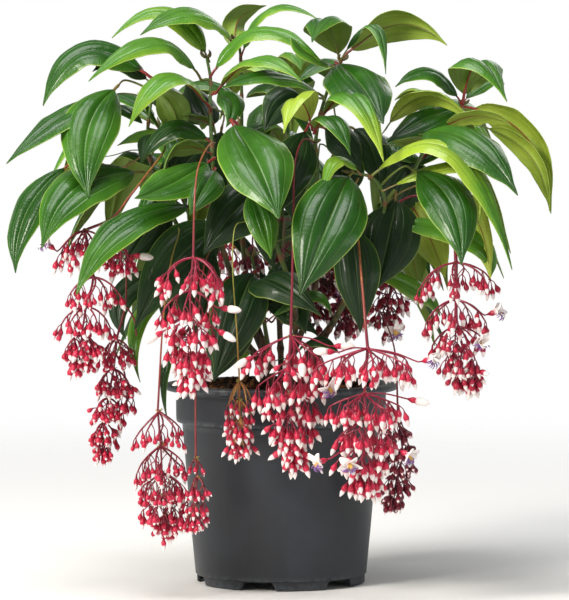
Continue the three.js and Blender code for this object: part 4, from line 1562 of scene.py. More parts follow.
@dataclass
class Spray:
    """A hanging flower spray: whorls of branches on a stalk, with buds and open flowers."""

    name: str
    route: Sequence[Triple]
    whorls: Sequence[Whorl]
    end: Triple
    ripeness: float = 0.8
    tone: Tone = Tone.CRIMSON
    redness: float = 0.85
    foot_redness: float = 0.6
    thickness: float = 1.0
    golden: float = 0.25
    arch: float = 1.0
    bud_size: float = 1.0
    apart: float = 4.3
    twigs: Sequence[Sequence[Triple]] = ()
    blooms: Sequence[tuple[Triple, Triple]] = ()
    swelling: Sequence[tuple[Triple, Triple]] = ()

    bud_length: float = 10.6
    whorl_turn: float = 0.55
    tries: int = 10
    bloom_cup: float = 5.2
    swelling_cup: float = 2.0
    spots: tuple[tuple[float, float], ...] = ((1.0, 0.0), (1.0, 1.7), (1.0, -1.7), (0.72, 1.5), (0.72, -1.5),
                                              (0.46, 1.4), (0.46, -1.4), (0.86, 0.2))

    def __post_init__(self) -> None:
        """Start the spray's own draws and its empty lists."""
        self.rng = random.Random(sum(map(ord, self.name)) * 7)
        self.stalks = Shell()
        self.buds: list[tuple[Array, Array, float]] = []

    @property
    def dark(self) -> float:
        """How dark the spray is; for sprays inside the foliage this is painted shade."""
        return self.tone.value

    def stalk(self, path: Array, radii: Values, redness: Values, sides: int = 6) -> None:
        """Add a stalk of the spray; its redness goes from 0, yellow-green, to 1, magenta."""
        self.stalks.tube(path, radii, sides, r=redness, b=self.dark)

    def free(self, middle: Array) -> float:
        """Measure the way from a place to the nearest bud that already hangs."""
        middles = [foot + axis * (0.5 * self.bud_length) for foot, axis, _ in self.buds]
        return min((float(np.linalg.norm(other - middle)) for other in middles), default=math.inf)

    def hang(self, root: Array, out: Array, length: float) -> None:
        """Hang one bud on its own thin stalk where there is room for it.

        Args:
            root: where the thin stalk starts.
            out: the direction that it starts in.
            length: the length of the thin stalk.
        """
        most = -1.0
        for attempt in range(self.tries):
            spread = 0.14 + 0.07 * attempt
            jitter = np.array([self.rng.gauss(0, spread) for _ in range(3)])
            lean = unit(out * self.rng.uniform(0.2, 0.85) + DOWN + jitter)
            tried = root + lean * length * self.rng.uniform(0.6, 1.35)
            heading = unit(lean * 0.5 + DOWN * 0.7 + 0.45 * jitter)
            room = self.free(tried + heading * 0.5 * self.bud_length)
            if room > most:
                most, foot, axis = room, tried, heading
            if room > self.apart:
                break
        if most < 0.6 * self.apart:
            return
        path = smooth_through([root, 0.5 * (root + foot) + 0.14 * length * out, foot, foot + axis * 0.6], 5)
        young = max(self.redness - 0.6 * self.golden * self.rng.random() ** 2, 0.1)
        self.stalk(path, [0.46, 0.37, 0.35, 0.42, 0.62], np.linspace(young, max(young, 0.85), 5), 5)
        self.buds.append((foot, axis, self.bud_size * self.rng.uniform(0.84, 1.08)))

    def branch(self, node: Array, angle: float, arm: float, whorl: Whorl) -> None:
        """Grow one branch of a whorl.

        Args:
            node: where it stands on the main stalk.
            angle: its compass angle, in radians.
            arm: its length outwards.
            whorl: the whorl that it belongs to.
        """
        out = outward(angle)
        side = np.array([-out[1], out[0], 0.0])
        drop = arm * whorl.fall * self.rng.uniform(0.75, 1.3)
        bow = side * self.rng.uniform(-0.12, 0.12) * arm
        early, late = 0.36 - 0.2 * self.arch, 0.76 - 0.18 * self.arch
        bends = [node + out * arm * 0.4 + DOWN * drop * early + bow,
                 node + out * arm * 0.8 + DOWN * drop * late + bow]
        path = smooth_through([node, *bends, node + out * arm + DOWN * drop], 10)
        self.stalk(path, np.linspace(0.85, 0.58, 10), self.redness)
        count = max(1, round(whorl.fullness * self.rng.uniform(0.85, 1.15)))
        for share, fan in self.spots[:count]:
            lean = out * math.cos(fan) + side * math.sin(fan)
            length = self.rng.uniform(3.0, 7.0) if share > 0.9 else self.rng.uniform(4.0, 9.5)
            self.hang(path[int(share * 9)], lean, length + (1 - self.arch) * (1 - share) * 9.0)

    def bristles(self, node: Array, radius: float) -> None:
        """Add the small golden bracts that stand round a joint.

        Args:
            node: the middle of the joint.
            radius: its radius.
        """
        for _ in range(round(10 * self.golden)):
            out = outward(self.rng.uniform(0, 6.28), self.rng.uniform(-0.6, 0.9))
            path = np.stack([node + out * radius * 0.7, node + out * (radius + 0.9) + UP * 0.3,
                             node + out * (radius + 1.9) + DOWN * 0.1])
            self.stalks.tube(path, [0.34, 0.3, 0.08], 5, r=0.1, b=0.4 * self.dark)

    def grow_whorl(self, index: int, whorl: Whorl) -> None:
        """Grow a knot with its ring of branches.

        Args:
            index: the number of the whorl, from the top.
            whorl: the whorl.
        """
        node = np.array(whorl.place, float)
        thick = self.thickness * np.interp(whorl.reach, [5, 22], [0.75, 1.0])
        knot = np.stack([node - DOWN * 1.5, node - DOWN * 0.6, node, node + DOWN * 0.7, node + DOWN * 1.6])
        self.stalk(knot, thick * np.array([0.95, 1.5, 1.65, 1.5, 0.95]), self.redness - 0.15, 8)
        self.bristles(node, 1.5 * thick)
        turn = 0.4 + index * self.whorl_turn
        for j in range(whorl.branches):
            angle = turn + math.tau * j / whorl.branches + self.rng.uniform(-0.2, 0.2)
            self.branch(node, angle, max(whorl.reach - 2.5, 2.5) * self.rng.uniform(0.82, 1.08), whorl)

    def grow(self) -> None:
        """Grow the main stalk with its whorls of branches."""
        nodes = [whorl.place for whorl in self.whorls if abs(whorl.place[0] - self.end[0]) < 18]
        lower = smooth_through([self.route[-1], *nodes[1:], self.end], 26)[1:]
        path = np.vstack([smooth_through(self.route, 40), lower])
        share = np.linspace(0, 1, 40)
        radii = self.thickness * np.array([*(0.64 + 0.46 * share**2), *np.linspace(1.1, 0.55, 25)])
        ripening = self.foot_redness + (min(self.redness, 0.7) - self.foot_redness) * share**1.9
        self.stalk(path, radii, np.array([*ripening, *np.linspace(ripening[-1], self.redness, 25)]), 9)
        for places in self.twigs:
            self.stalk(smooth_through(places, 14), np.linspace(0.8, 0.6, 14), self.redness)
        for index, whorl in enumerate(self.whorls):
            self.grow_whorl(index, whorl)
        for fan in range(4):
            self.hang(np.array(self.end, float), outward(0.7 + fan * 1.6), 3.5)

    def nearest_knot(self, place: Array) -> Array:
        """Find the knot that a flower's own stalk starts from.

        Args:
            place: the foot of the flower.

        Returns:
            The place of the nearest knot above it, or of the first knot.
        """
        knots = np.array([whorl.place for whorl in self.whorls], float)
        above = knots[knots[:, 2] > place[2] + 2]
        knots = above if len(above) else knots[:1]
        return knots[np.argmin(np.linalg.norm(knots - place, axis=1))]

    def open_flowers(self) -> Shell:
        """Make the open flowers and the large buds about to open.

        Returns:
            The skins of petals, stamens and cups.
        """
        shell = Shell()
        cup = Form.turned(CUP_PROFILE, 12)
        large = Form.turned([*((h * 1.05, r * 1.05, m) for h, r, m in CUP_PROFILE), *SWOLLEN_TIP], 14, 0.4)
        cups = [(*bloom, cup, self.bloom_cup) for bloom in self.blooms]
        cups += [(*bud, large, self.swelling_cup) for bud in self.swelling]
        for place, looking, form, back in cups:
            axis = unit(looking)
            foot = np.array(place, float) - axis * back
            shell.copy(form, foot, axis, 1.0, paint_rows(1, g=0.5, b=self.dark), 0.0, 2)
            root = self.nearest_knot(foot)
            bend = 0.5 * (root + foot) + 1.5 * UP
            path = smooth_through([root, bend, foot - axis * 2, foot + axis * 0.5], 12)
            self.stalk(path, 0.6, self.redness)
        for place, looking in self.blooms:
            Bloom(place, looking, self.rng.uniform(0.45, 0.95)).build(shell, self.rng)
        return shell

    def build(self, finishes: Finishes) -> None:
        """Make the spray and dress it.

        Args:
            finishes: the finishes of the plant.
        """
        node = f"spray_{self.name}"
        self.grow()
        if self.blooms or self.swelling:
            dress = [finishes.petal, finishes.stamen, finishes.bud]
            place_piece(self.open_flowers().make(f"flowers_{self.name}", dress), node)
        place_piece(self.stalks.make(f"stalks_{self.name}", [finishes.stalk]), node)
        ripe = Form.turned([*CUP_PROFILE, *RIPE_TIP], 8, 0.12)
        young = Form.turned(YOUNG_CUP, 8)
        shell = Shell()
        for foot, axis, size in self.buds:
            mark = paint_rows(1, g=self.rng.random(), b=self.dark * self.rng.uniform(0.8, 1.1))
            form = ripe if self.rng.random() < self.ripeness else young
            shell.copy(form, foot, axis, size, mark, self.rng.random() * 6)
        place_piece(shell.make(f"buds_{self.name}", [finishes.bud]), node)
        log.info("%s: %d buds", self.name, len(self.buds))


def even_whorls(top: Triple, length: float, reach: float, count: int, fullness: float) -> list[Whorl]:
    """Space whorls evenly down a straight spray, each smaller than the one above.

    Args:
        top: the place of the first whorl.
        length: the length of the whole spray.
        reach: the reach of its first whorl.
        count: how many whorls it has.
        fullness: how many buds a branch of the first whorl bears.

    Returns:
        The whorls, from the top.
    """
    made = []
    for k in range(count):
        share = k / count
        place = (top[0], top[1], top[2] - (length - 16) * share**0.9)
        made.append(Whorl(place, reach * (1 - 0.6 * share), fullness * (1 - 0.4 * share), 5 if k < 3 else 4))
    return made


# ---- the stems and sprays of this plant, from the left round to the back ----


LEFT_STEM = Stem("left", 2.6, (-14, -12), [
    (-48, -20, 208), (-80, -30, 273), (-96, -34, 317), (-93, -34, 359),
], [
    Leaf((-122, -42, 356), (-156, -75, 340), (-193, -105, 307), 30, (-0.3, -0.6, 0.75)),
    Leaf((-117, -47, 363), (-134, -85, 331), (-135, -108, 283), 42, (-0.1, -0.95, 0.3)),
    Leaf((-95, -34, 370), (-141, -44, 387), (-170, -62, 348), 43, (-0.35, -0.5, 0.8)),
    Leaf((-75, -34, 331), (-79, -40, 347), (-92, -28, 362), 25, (-0.3, 0.8, 0.3)),
    Leaf((-152, -40, 307), (-181, -62, 273), (-189, -75, 229), 30, (-0.4, -0.7, 0.5), sag=0.28),
    Leaf((-99, -55, 301), (-142, -98, 290), (-167, -125, 248), 44, (-0.2, -0.75, 0.6)),
    Leaf((-88, -20, 331), (-96, -8, 346), (-105, 2, 359), 20, (0.0, 0.5, 0.8)),
    Leaf((-87, -38, 330), (-101, -48, 328), (-117, -60, 320), 14, (-0.2, -0.6, 0.7), BRIGHT),
    Leaf((-137, -25, 311), (-151, -26, 306), (-167, -28, 294), 18, (-0.2, 0.5, 0.8), YOUNG),
    Leaf((-86, -45, 324), (-94, -58, 325), (-100, -70, 307), 20, (-0.3, -0.6, 0.7), DEEP_SHADE),
    Leaf((-95, -28, 366), (-116, -38, 379), (-135, -52, 373), 22, (-0.2, -0.7, 0.7), DEEP_SHADE),
    Leaf((-88, -6, 283), (-97, -20, 260), (-114, -30, 236), 32, (-0.1, -0.9, 0.4), DEEP_SHADE),
], [
    Tier(330, -60, 76, 14, 40, 36), Tier(300, -30, 76, 8, 56, 37), Tier(345, 20, 60, 14, 24, 32),
])
FRONT_LEFT_STEM = Stem("front_left", 2.6, (-9, -32), [
    (-29, -38, 209), (-46, -50, 262), (-49, -58, 313), (-51, -42, 346), (-51, -24, 368), (-54, -14, 384),
], [
    Leaf((-52, -13, 381), (-84, -4, 418), (-123, -16, 398), 27, (-0.2, -0.35, 0.9), BRIGHT, fade=-0.1,
         stalk_red=0.2),
    Leaf((-59, -28, 370), (-93, -56, 395), (-136, -90, 365), 32, (-0.2, -0.5, 0.84), BRIGHT, stalk_red=0.1),
    Leaf((-50, -44, 346), (-80, -75, 368), (-107, -102, 333), 32, (-0.2, -0.5, 0.85), BRIGHT, fade=0.1),
    Leaf((-46, -38, 359), (-16, -76, 381), (15, -102, 364), 26, (0.15, -0.45, 0.88), BRIGHT),
    Leaf((-51, -24, 370), (-14, -32, 402), (30, -50, 379), 34, (0.1, -0.3, 0.95), BRIGHT),
    Leaf((-47, -34, 359), (-35, -55, 350), (-39, -70, 333), 20, (0.2, -0.9, 0.4)),
    Leaf((-58, -72, 277), (-111, -115, 264), (-142, -140, 216), 36, (-0.3, -0.65, 0.7), fade=0.18),
    Leaf((-49, -66, 310), (-77, -100, 294), (-102, -125, 283), 34, (-0.1, -0.8, 0.6)),
    Leaf((-47, -68, 303), (-53, -98, 291), (-64, -115, 271), 26, (0.1, -0.85, 0.5)),
    Leaf((-47, -46, 250), (-62, -60, 222), (-60, -66, 184), 37, (0, -0.95, 0.2), DEEP_SHADE),
    Leaf((-49, -60, 314), (-76, -74, 318), (-82, -90, 294), 20, (-0.3, 0.5, 0.8)),
    Leaf((-50, -30, 333), (-59, -20, 349), (-69, -12, 369), 30, (0.3, -0.7, 0.5), DEEP_SHADE),
    Leaf((-50, -42, 336), (-61, -38, 340), (-76, -22, 342), 20, (0.0, 0.5, 0.8)),
    Leaf((-49, -52, 323), (-63, -44, 328), (-77, -36, 326), 16, (0.0, 0.3, 0.9)),
    Leaf((-50, -56, 322), (-77, -62, 333), (-99, -66, 308), 28, (-0.1, -0.55, 0.85), fade=-0.2),
    Leaf((-57, -20, 317), (-75, -26, 302), (-90, -34, 274), 34, (-0.1, -0.9, 0.4), DEEP_SHADE),
    Leaf((-43, -20, 333), (-43, -28, 304), (-32, -36, 271), 36, (0.0, -0.95, 0.3), DEEP_SHADE),
    Leaf((-38, -30, 262), (-74, -56, 239), (-105, -64, 188), 44, (-0.1, -0.95, 0.2), DEEP_SHADE),
])
UPPER_LEFT_STEM = Stem("upper_left", 2.5, (-8, 14), [
    (-23, 22, 206), (-30, 26, 280), (-29, 24, 339), (-30, 20, 388), (-32, 8, 398),
], [
    Leaf((-33, 4, 393), (-64, -26, 416), (-101, -50, 399), 35, (-0.1, -0.5, 0.86), BRIGHT, fade=-0.25,
         stalk_red=0.3),
    Leaf((-29, 18, 386), (-8, 8, 419), (27, -6, 412), 24, (0.1, -0.3, 0.95), BRIGHT),
    Leaf((-30, 24, 389), (-33, 42, 413), (-11, 62, 425), 22, (0, 0.8, 0.5)),
], [
    Tier(348, -60, 80, 14, 40, 36), Tier(310, -100, 66, 8, 50, 36), Tier(350, 120, 64, 10, 36, 36),
    Tier(322, 40, 66, 10, 40, 34), Tier(286, -35, 70, 6, 52, 34),
])
CROWN_STEM = Stem("crown", 2.6, (6, -7), [
    (23, -16, 208), (28, -30, 266), (25, -58, 324), (32, -46, 355), (44, -18, 382),
], [
    Leaf((43, -16, 381), (32, -45, 410), (22, -80, 393), 34, (-0.2, -0.3, 0.9)),
    Leaf((46, -12, 385), (86, 2, 410), (121, -12, 393), 34, (0.1, 0.66, 0.75), BRIGHT),
    Leaf((45, -20, 385), (67, -36, 406), (75, -58, 371), 14, (0.3, -0.5, 0.8)),
    Leaf((40, -30, 378), (19, -56, 384), (7, -66, 397), 20, (-0.1, -0.6, 0.75), BRIGHT),
    Leaf((40, -26, 380), (57, -75, 364), (72, -108, 335), 48, (0.15, -0.8, 0.6), fade=-0.2),
    Leaf((29, -52, 356), (-6, -80, 369), (-41, -112, 360), 32, (-0.1, -0.45, 0.88)),
    Leaf((22, -64, 333), (11, -95, 353), (2, -122, 328), 28, (-0.5, -0.3, 0.8), YOUNG),
    Leaf((27, -60, 337), (52, -92, 355), (72, -122, 308), 30, (0.3, -0.5, 0.8), fade=0.8),
    Leaf((24, -66, 330), (37, -100, 339), (49, -118, 313), 24, (0.2, -0.5, 0.8)),
    Leaf((19, -66, 333), (6, -86, 304), (-1, -98, 272), 34, (-0.1, -0.95, 0.3), DEEP_SHADE),
    Leaf((30, -46, 333), (45, -44, 323), (58, -46, 302), 28, (0.2, -0.8, 0.5), DEEP_SHADE),
    Leaf((27, -54, 323), (15, -56, 306), (17, -58, 287), 24, (0.0, -0.9, 0.3), DEEP_SHADE),
    Leaf((27, -60, 236), (38, -84, 244), (50, -92, 244), 16, (0.1, -0.75, 0.6), BRIGHT, fade=0.2),
    Leaf((16, -40, 354), (1, -52, 350), (-12, -60, 330), 30, (0.0, -0.9, 0.4), DEEP_SHADE),
    Leaf((36, -30, 317), (46, -40, 301), (37, -48, 278), 34, (0.1, -0.9, 0.3), DEEP_SHADE),
    Leaf((14, -44, 324), (7, -56, 299), (9, -60, 265), 30, (0.1, -0.9, 0.3), DEEP_SHADE),
    Leaf((52, -16, 333), (65, -26, 318), (72, -34, 289), 34, (0.2, -0.8, 0.5), DEEP_SHADE),
])
CENTRE_STEM = Stem("centre", 2.5, (8, -38), [
    (10, -62, 205), (-6, -74, 258), (-20, -74, 303), (-29, -66, 334),
], [
    Leaf((-35, -72, 337), (-19, -122, 308), (-1, -155, 269), 53, (0.05, -0.85, 0.5)),
    Leaf((-22, -78, 288), (-13, -98, 266), (-7, -105, 240), 23, (0.25, -0.85, 0.3), fade=0.35),
    Leaf((-24, -60, 317), (-11, -50, 298), (7, -50, 281), 32, (0, -0.9, 0.3), DEEP_SHADE),
    Leaf((-13, -66, 287), (-35, -76, 274), (-55, -82, 242), 40, (-0.1, -0.95, 0.25), DEEP_SHADE),
    Leaf((-9, -56, 282), (-12, -62, 258), (-4, -62, 230), 20, (0.1, -0.95, 0.2), DEEP_SHADE),
    Leaf((-13, -66, 287), (-12, -80, 263), (-6, -86, 242), 20, (0.3, -0.85, 0.3)),
    Leaf((-25, -66, 284), (-27, -70, 267), (-28, -72, 253), 12, (0.4, -0.8, 0.3), BRIGHT),
])
UPPER_RIGHT_STEM = Stem("upper_right", 2.6, (16, 12), [
    (51, 6, 207), (87, -16, 270), (100, -36, 310), (115, -40, 333), (131, -22, 350),
], [
    Leaf((132, -24, 351), (142, -46, 380), (161, -72, 351), 42, (0.1, 0.0, 1), fade=0.25),
    Leaf((130, -24, 352), (108, -36, 373), (82, -52, 362), 24, (-0.1, -0.5, 0.85)),
    Leaf((76, -28, 332), (106, -42, 356), (140, -56, 333), 22, (0.1, 0.5, 0.85), BRIGHT),
    Leaf((130, -30, 348), (103, -50, 338), (76, -66, 322), 30, (-0.25, -0.7, 0.65), fade=-0.25),
    Leaf((97, -58, 327), (132, -102, 324), (165, -132, 285), 44, (0.25, -0.75, 0.6), fade=-0.15,
         stalk_radius=0.6),
    Leaf((134, -22, 348), (179, -30, 326), (194, -52, 271), 32, (0.5, 0.65, 0.5), BRIGHT),
    Leaf((146, -28, 334), (180, -42, 312), (192, -66, 273), 22, (0.5, 0.65, 0.5), BRIGHT),
    Leaf((116, -44, 333), (141, -62, 341), (165, -60, 334), 18, (0, 0.6, 0.7), BRIGHT),
    Leaf((92, -28, 281), (109, -46, 254), (118, -52, 225), 28, (0.2, 0.85, 0.3), BRIGHT),
    Leaf((88, -22, 276), (94, -24, 244), (101, -24, 217), 26, (0, 0.9, 0.3)),
    Leaf((133, -16, 352), (151, -4, 368), (163, -8, 365), 14, (0.2, -0.4, 0.8)),
    Leaf((121, -22, 344), (100, -8, 359), (83, -8, 353), 18, (0.0, 0.4, 0.9), BRIGHT),
    Leaf((112, -36, 328), (95, -30, 323), (79, -36, 324), 16, (0.0, 0.5, 0.8)),
    Leaf((104, -22, 311), (88, -32, 288), (80, -38, 262), 34, (0.1, -0.9, 0.3), DEEP_SHADE),
    Leaf((85, -20, 269), (104, -26, 257), (114, -32, 227), 30, (0.3, 0.8, 0.3), BRIGHT),
], [
    Tier(300, 60, 84, 10, 60, 37), Tier(328, 20, 80, 14, 40, 36), Tier(302, -25, 68, 8, 46, 34),
    Tier(268, 35, 66, 4, 56, 34),
])
RIGHT_STEM = Stem("right", 2.6, (20, -22), [
    (43, -45, 202), (67, -62, 252), (74, -76, 281), (65, -88, 297), (50, -92, 301),
], [
    Leaf((50, -96, 301), (32, -134, 268), (13, -152, 216), 52, (0.05, -0.9, 0.4), fade=-0.08),
    Leaf((56, -94, 300), (39, -104, 310), (30, -116, 285), 16, (-0.3, -0.5, 0.8), BRIGHT),
    Leaf((62, -88, 296), (120, -112, 316), (161, -134, 233), 34, (0.35, -0.35, 0.85), YOUNG, fade=-0.65),
    Leaf((73, -84, 288), (130, -104, 304), (138, -124, 264), 18, (0.5, -0.5, 0.6), YOUNG),
    Leaf((93, -88, 303), (117, -124, 280), (125, -146, 237), 38, (0.05, -0.9, 0.4)),
    Leaf((71, -70, 266), (136, -72, 253), (148, -74, 224), 24, (0.3, -0.7, 0.5), BRIGHT),
    Leaf((82, -66, 284), (79, -76, 253), (68, -84, 218), 48, (0, -0.95, 0.25), DEEP_SHADE),
    Leaf((49, -84, 263), (54, -98, 231), (56, -104, 188), 34, (-0.1, -0.95, 0.2), DEEP_SHADE),
    Leaf((58, -54, 231), (96, -40, 217), (115, -40, 197), 20, (0.2, -0.7, 0.6), BRIGHT),
    Leaf((120, -62, 287), (142, -70, 266), (149, -80, 224), 28, (0.5, 0.7, 0.3), YOUNG),
    Leaf((40, 24, 240), (34, 28, 220), (26, 30, 199), 26, (0.0, -0.95, 0.3), DEEP_SHADE),
])
LOW_LEFT_STEM = Stem("low_left", 2.4, (-28, 4), [
    (-48, 4, 185), (-72, 4, 225), (-92, -2, 248),
], [
    Leaf((-84, -10, 244), (-78, -30, 222), (-86, -36, 186), 40, (-0.2, -0.9, 0.3), DEEP_SHADE),
    Leaf((-70, -4, 218), (-103, -38, 194), (-101, -58, 150), 14, (-0.3, -0.9, 0.1), BRIGHT),
    Leaf((-80, -4, 230), (-115, -10, 210), (-113, -18, 179), 20, (-0.2, -0.9, 0.2), DEEP_SHADE),
    Leaf((-63, -9, 190), (-83, -34, 162), (-82, -37, 121), 10, (-0.6, -0.7, 0.3), stalk_red=0.1),
])
LOW_FRONT_STEM = Stem("low_front", 2.4, (-6, -50), [
    (-10, -56, 181), (-16, -50, 217), (-21, -40, 240),
], [
    Leaf((-19, -48, 230), (-31, -74, 204), (-48, -86, 152), 42, (0, -0.95, 0.2), DEEP_SHADE),
    Leaf((-16, -60, 218), (-4, -92, 224), (29, -112, 200), 34, (0.1, -0.8, 0.6), DEEP_SHADE),
    Leaf((-11, -60, 202), (7, -52, 200), (27, -50, 183), 22, (0.1, -0.6, 0.6), DEEP_SHADE),
    Leaf((-9, -62, 195), (21, -78, 213), (36, -84, 199), 12, (0.2, -0.7, 0.6)),
    Leaf((-29, -50, 213), (-38, -68, 184), (-48, -78, 152), 34, (0.0, -0.95, 0.2), DEEP_SHADE),
    Leaf((-4, -44, 196), (8, -54, 203), (18, -60, 185), 24, (0.2, -0.9, 0.3), DEEP_SHADE),
    Leaf((12, -40, 171), (27, -56, 181), (42, -62, 171), 18, (0.1, -0.4, 0.9), DEEP_SHADE),
    Leaf((14, -30, 246), (3, -40, 219), (-14, -44, 200), 30, (0.0, -0.95, 0.3), DEEP_SHADE),
    Leaf((-21, -44, 171), (-35, -64, 172), (-48, -74, 154), 18, (-0.3, -0.8, 0.5), BRIGHT),
])
REAR_LEFT_STEM = Stem("rear_left", 2.5, (-26, 28), [
    (-50, 62, 220), (-78, 88, 290), (-92, 96, 335),
], (), [
    Tier(334, -50, 96, 22, 18, 38), Tier(330, -105, 88, 16, 40, 36, BRIGHT),
    Tier(300, -12, 92, 6, 62, 40), Tier(292, -78, 92, 6, 66, 42), Tier(268, -125, 70, 4, 54, 34, DEEP_SHADE),
    Tier(250, -40, 84, -4, 84, 40), Tier(228, -92, 74, -6, 76, 36, DEEP_SHADE),
    Tier(314, 168, 78, 12, 40, 34), Tier(276, 215, 66, 4, 52, 34), Tier(250, 110, 62, 2, 50, 32, DEEP_SHADE),
])
REAR_STEM = Stem("rear", 2.5, (0, 34), [
    (-2, 74, 230), (4, 104, 310), (6, 108, 362),
], (), [
    Tier(360, -40, 84, 24, 20, 36, BRIGHT), Tier(361, 42, 86, 22, 26, 38), Tier(358, 2, 80, 14, 44, 40),
    Tier(362, 170, 52, 26, -14, 29, BRIGHT), Tier(318, -12, 80, 4, 70, 38),
    Tier(300, 12, 84, 2, 78, 38), Tier(262, 0, 96, -6, 88, 40, DEEP_SHADE), Tier(334, 205, 72, 14, 34, 34),
    Tier(300, 150, 70, 8, 48, 34), Tier(270, -95, 66, 2, 52, 34), Tier(252, 85, 66, 2, 54, 34, DEEP_SHADE),
])
REAR_RIGHT_STEM = Stem("rear_right", 2.5, (26, 28), [
    (52, 62, 220), (80, 90, 290), (96, 98, 330),
], (), [
    Tier(328, 52, 92, 24, 22, 38), Tier(326, 112, 84, 18, 40, 34, BRIGHT), Tier(298, 12, 92, 6, 64, 40),
    Tier(288, 80, 92, 4, 70, 42), Tier(266, 130, 66, 4, 54, 32, DEEP_SHADE), Tier(248, 40, 86, -4, 84, 40),
    Tier(226, 92, 76, -6, 76, 36, DEEP_SHADE), Tier(310, 192, 78, 12, 40, 34), Tier(272, 145, 66, 4, 52, 34),
    Tier(250, -110, 62, 2, 50, 32, DEEP_SHADE),
])
LEFT_SPRAY = Spray("left", [
    (-88, -34, 324), (-83, -56, 318), (-95, -76, 300), (-107, -88, 284), (-119, -92, 269), (-139, -88, 260),
], [
    Whorl((-139, -88, 260), 20, 8, 5, 0.85), Whorl((-133, -88, 227), 21, 5, 5, 0.6),
    Whorl((-138, -88, 206), 20, 5, 5, 0.7), Whorl((-141, -88, 186), 13, 6, 5, 0.6),
    Whorl((-142, -88, 174), 8, 5, 4), Whorl((-114, -84, 247), 9, 6, 4, 1.1),
], (-143, -88, 164), 0.45, redness=0.85, foot_redness=0.22, golden=0.1,
    twigs=[[(-121, -91, 268), (-115, -86, 260), (-114, -84, 247)]],
    blooms=[((-163, -94, 249), (-0.6, -0.5, 0.5))], swelling=[((-104, -84, 242), (0.95, -0.2, -0.1))])
LEFT_LOW_SPRAY = Spray("left_low", [
    (-95, -6, 248), (-110, -28, 240), (-112, -50, 205), (-118, -60, 181),
], [
    Whorl((-118, -60, 181), 13, 6, 5, 0.9), Whorl((-120, -60, 160), 14, 6, 5, 0.8),
    Whorl((-124, -60, 139), 12, 6, 5, 0.8), Whorl((-127, -60, 121), 10, 6, 4, 0.8),
    Whorl((-128, -60, 108), 6, 4, 4), Whorl((-110, -60, 143), 7, 3, 4, 1.0),
], (-128, -60, 100), 0.15, redness=0.8, foot_redness=0.5, golden=0.4, thickness=0.85,
    twigs=[[(-118, -60, 170), (-113, -60, 160), (-110, -60, 143)],
           [(-112, -50, 205), (-106, -50, 196), (-104, -50, 183)]])
FRONT_LEFT_SPRAY = Spray("front_left", [
    (-47, -66, 322), (-51, -84, 320), (-58, -112, 304), (-60, -124, 284), (-61, -128, 242),
], [
    Whorl((-61, -128, 242), 23, 4.6, 6, 0.72), Whorl((-63, -128, 219), 22, 4.4, 5, 0.65),
    Whorl((-63, -128, 201), 20, 4.6, 5, 0.6), Whorl((-63, -128, 187), 15, 5, 5, 0.7),
    Whorl((-63, -128, 175), 9, 5, 4, 0.7), Whorl((-63, -128, 165), 4, 4, 4),
], (-63, -128, 157), 0.95, redness=0.9, foot_redness=0.34, golden=0.2, thickness=0.85, bud_size=1.14,
    apart=4.8,
    swelling=[((-41, -134, 207), (0.95, -0.2, -0.12)), ((-43, -134, 191), (0.85, -0.2, -0.5)),
              ((-83, -136, 190), (-0.8, -0.3, -0.5))])
POT_LEFT_SPRAY = Spray("pot_left", [
    (-75, -28, 262), (-73, -66, 257), (-78, -96, 236), (-83, -99, 197), (-87, -98, 133),
], [
    Whorl((-86, -98, 132), 20, 4.4, 5, 0.95), Whorl((-85, -98, 108), 22, 6.4, 5, 0.8),
    Whorl((-84, -98, 89), 20, 7.6, 6, 0.7), Whorl((-83, -98, 72), 16, 7.6, 5, 0.7),
    Whorl((-81, -98, 59), 8, 6, 5),
], (-81, -98, 51), 0.22, redness=0.75, foot_redness=0.05, golden=0.7, thickness=0.72, arch=0.15,
    bud_size=0.95, apart=3.8)
POT_FRONT_LEFT_SPRAY = Spray("pot_front_left", [
    (-47, -54, 250), (-54, -84, 236), (-58, -102, 200), (-60, -104, 150), (-60, -104, 99),
], [
    Whorl((-60, -104, 99), 5, 2, 3, 1.0), Whorl((-59, -104, 86), 8, 3, 4, 1.0),
    Whorl((-60, -104, 74), 9, 4, 4, 0.9), Whorl((-61, -104, 64), 7, 4, 4, 0.9),
], (-62, -104, 55), 0.2, redness=0.6, foot_redness=0.5, golden=1.0, thickness=0.72, bud_size=0.85)
POT_FRONT_SPRAY = Spray("pot_front", [
    (-11, -75, 270), (-26, -86, 266), (-32, -100, 263), (-34, -106, 240), (-31, -108, 190), (-29, -108, 153),
], [
    Whorl((-29, -108, 154), 10, 2, 5, 1.7), Whorl((-29, -108, 141), 10, 3, 5, 1.4),
    Whorl((-29, -108, 128), 9, 3, 5, 1.2), Whorl((-29, -108, 117), 7, 3, 4, 1.1),
], (-29, -108, 110), 0.75, redness=0.3, foot_redness=-0.1, golden=1.6, thickness=0.6, bud_size=0.88,
    arch=0.6)
FRONT_SPRAY = Spray("front", [
    (25, -62, 322), (16, -84, 324), (10, -104, 308), (9, -116, 270), (8, -120, 224), (7, -120, 187),
], [
    Whorl((7, -120, 187), 30, 6, 6, 0.55), Whorl((6, -120, 165), 26, 5.6, 6, 0.5),
    Whorl((8, -120, 147), 19, 5, 5, 0.55), Whorl((8, -120, 133), 14, 5, 5, 0.6),
    Whorl((8, -120, 120), 8, 4.6, 5, 0.7), Whorl((8, -120, 109), 3.5, 4, 4),
], (8, -120, 101), 0.9, redness=0.9, foot_redness=0.68, golden=0.4, thickness=1.0, arch=0.15,
    bud_size=1.1, apart=4.6, blooms=[((33, -150, 154), (0.4, -0.6, -0.5))],
    swelling=[((-20, -128, 172), (-0.85, -0.2, -0.45)), ((38, -128, 180), (0.95, -0.2, 0.0)),
              ((14, -146, 172), (0.1, -0.5, -0.8))])
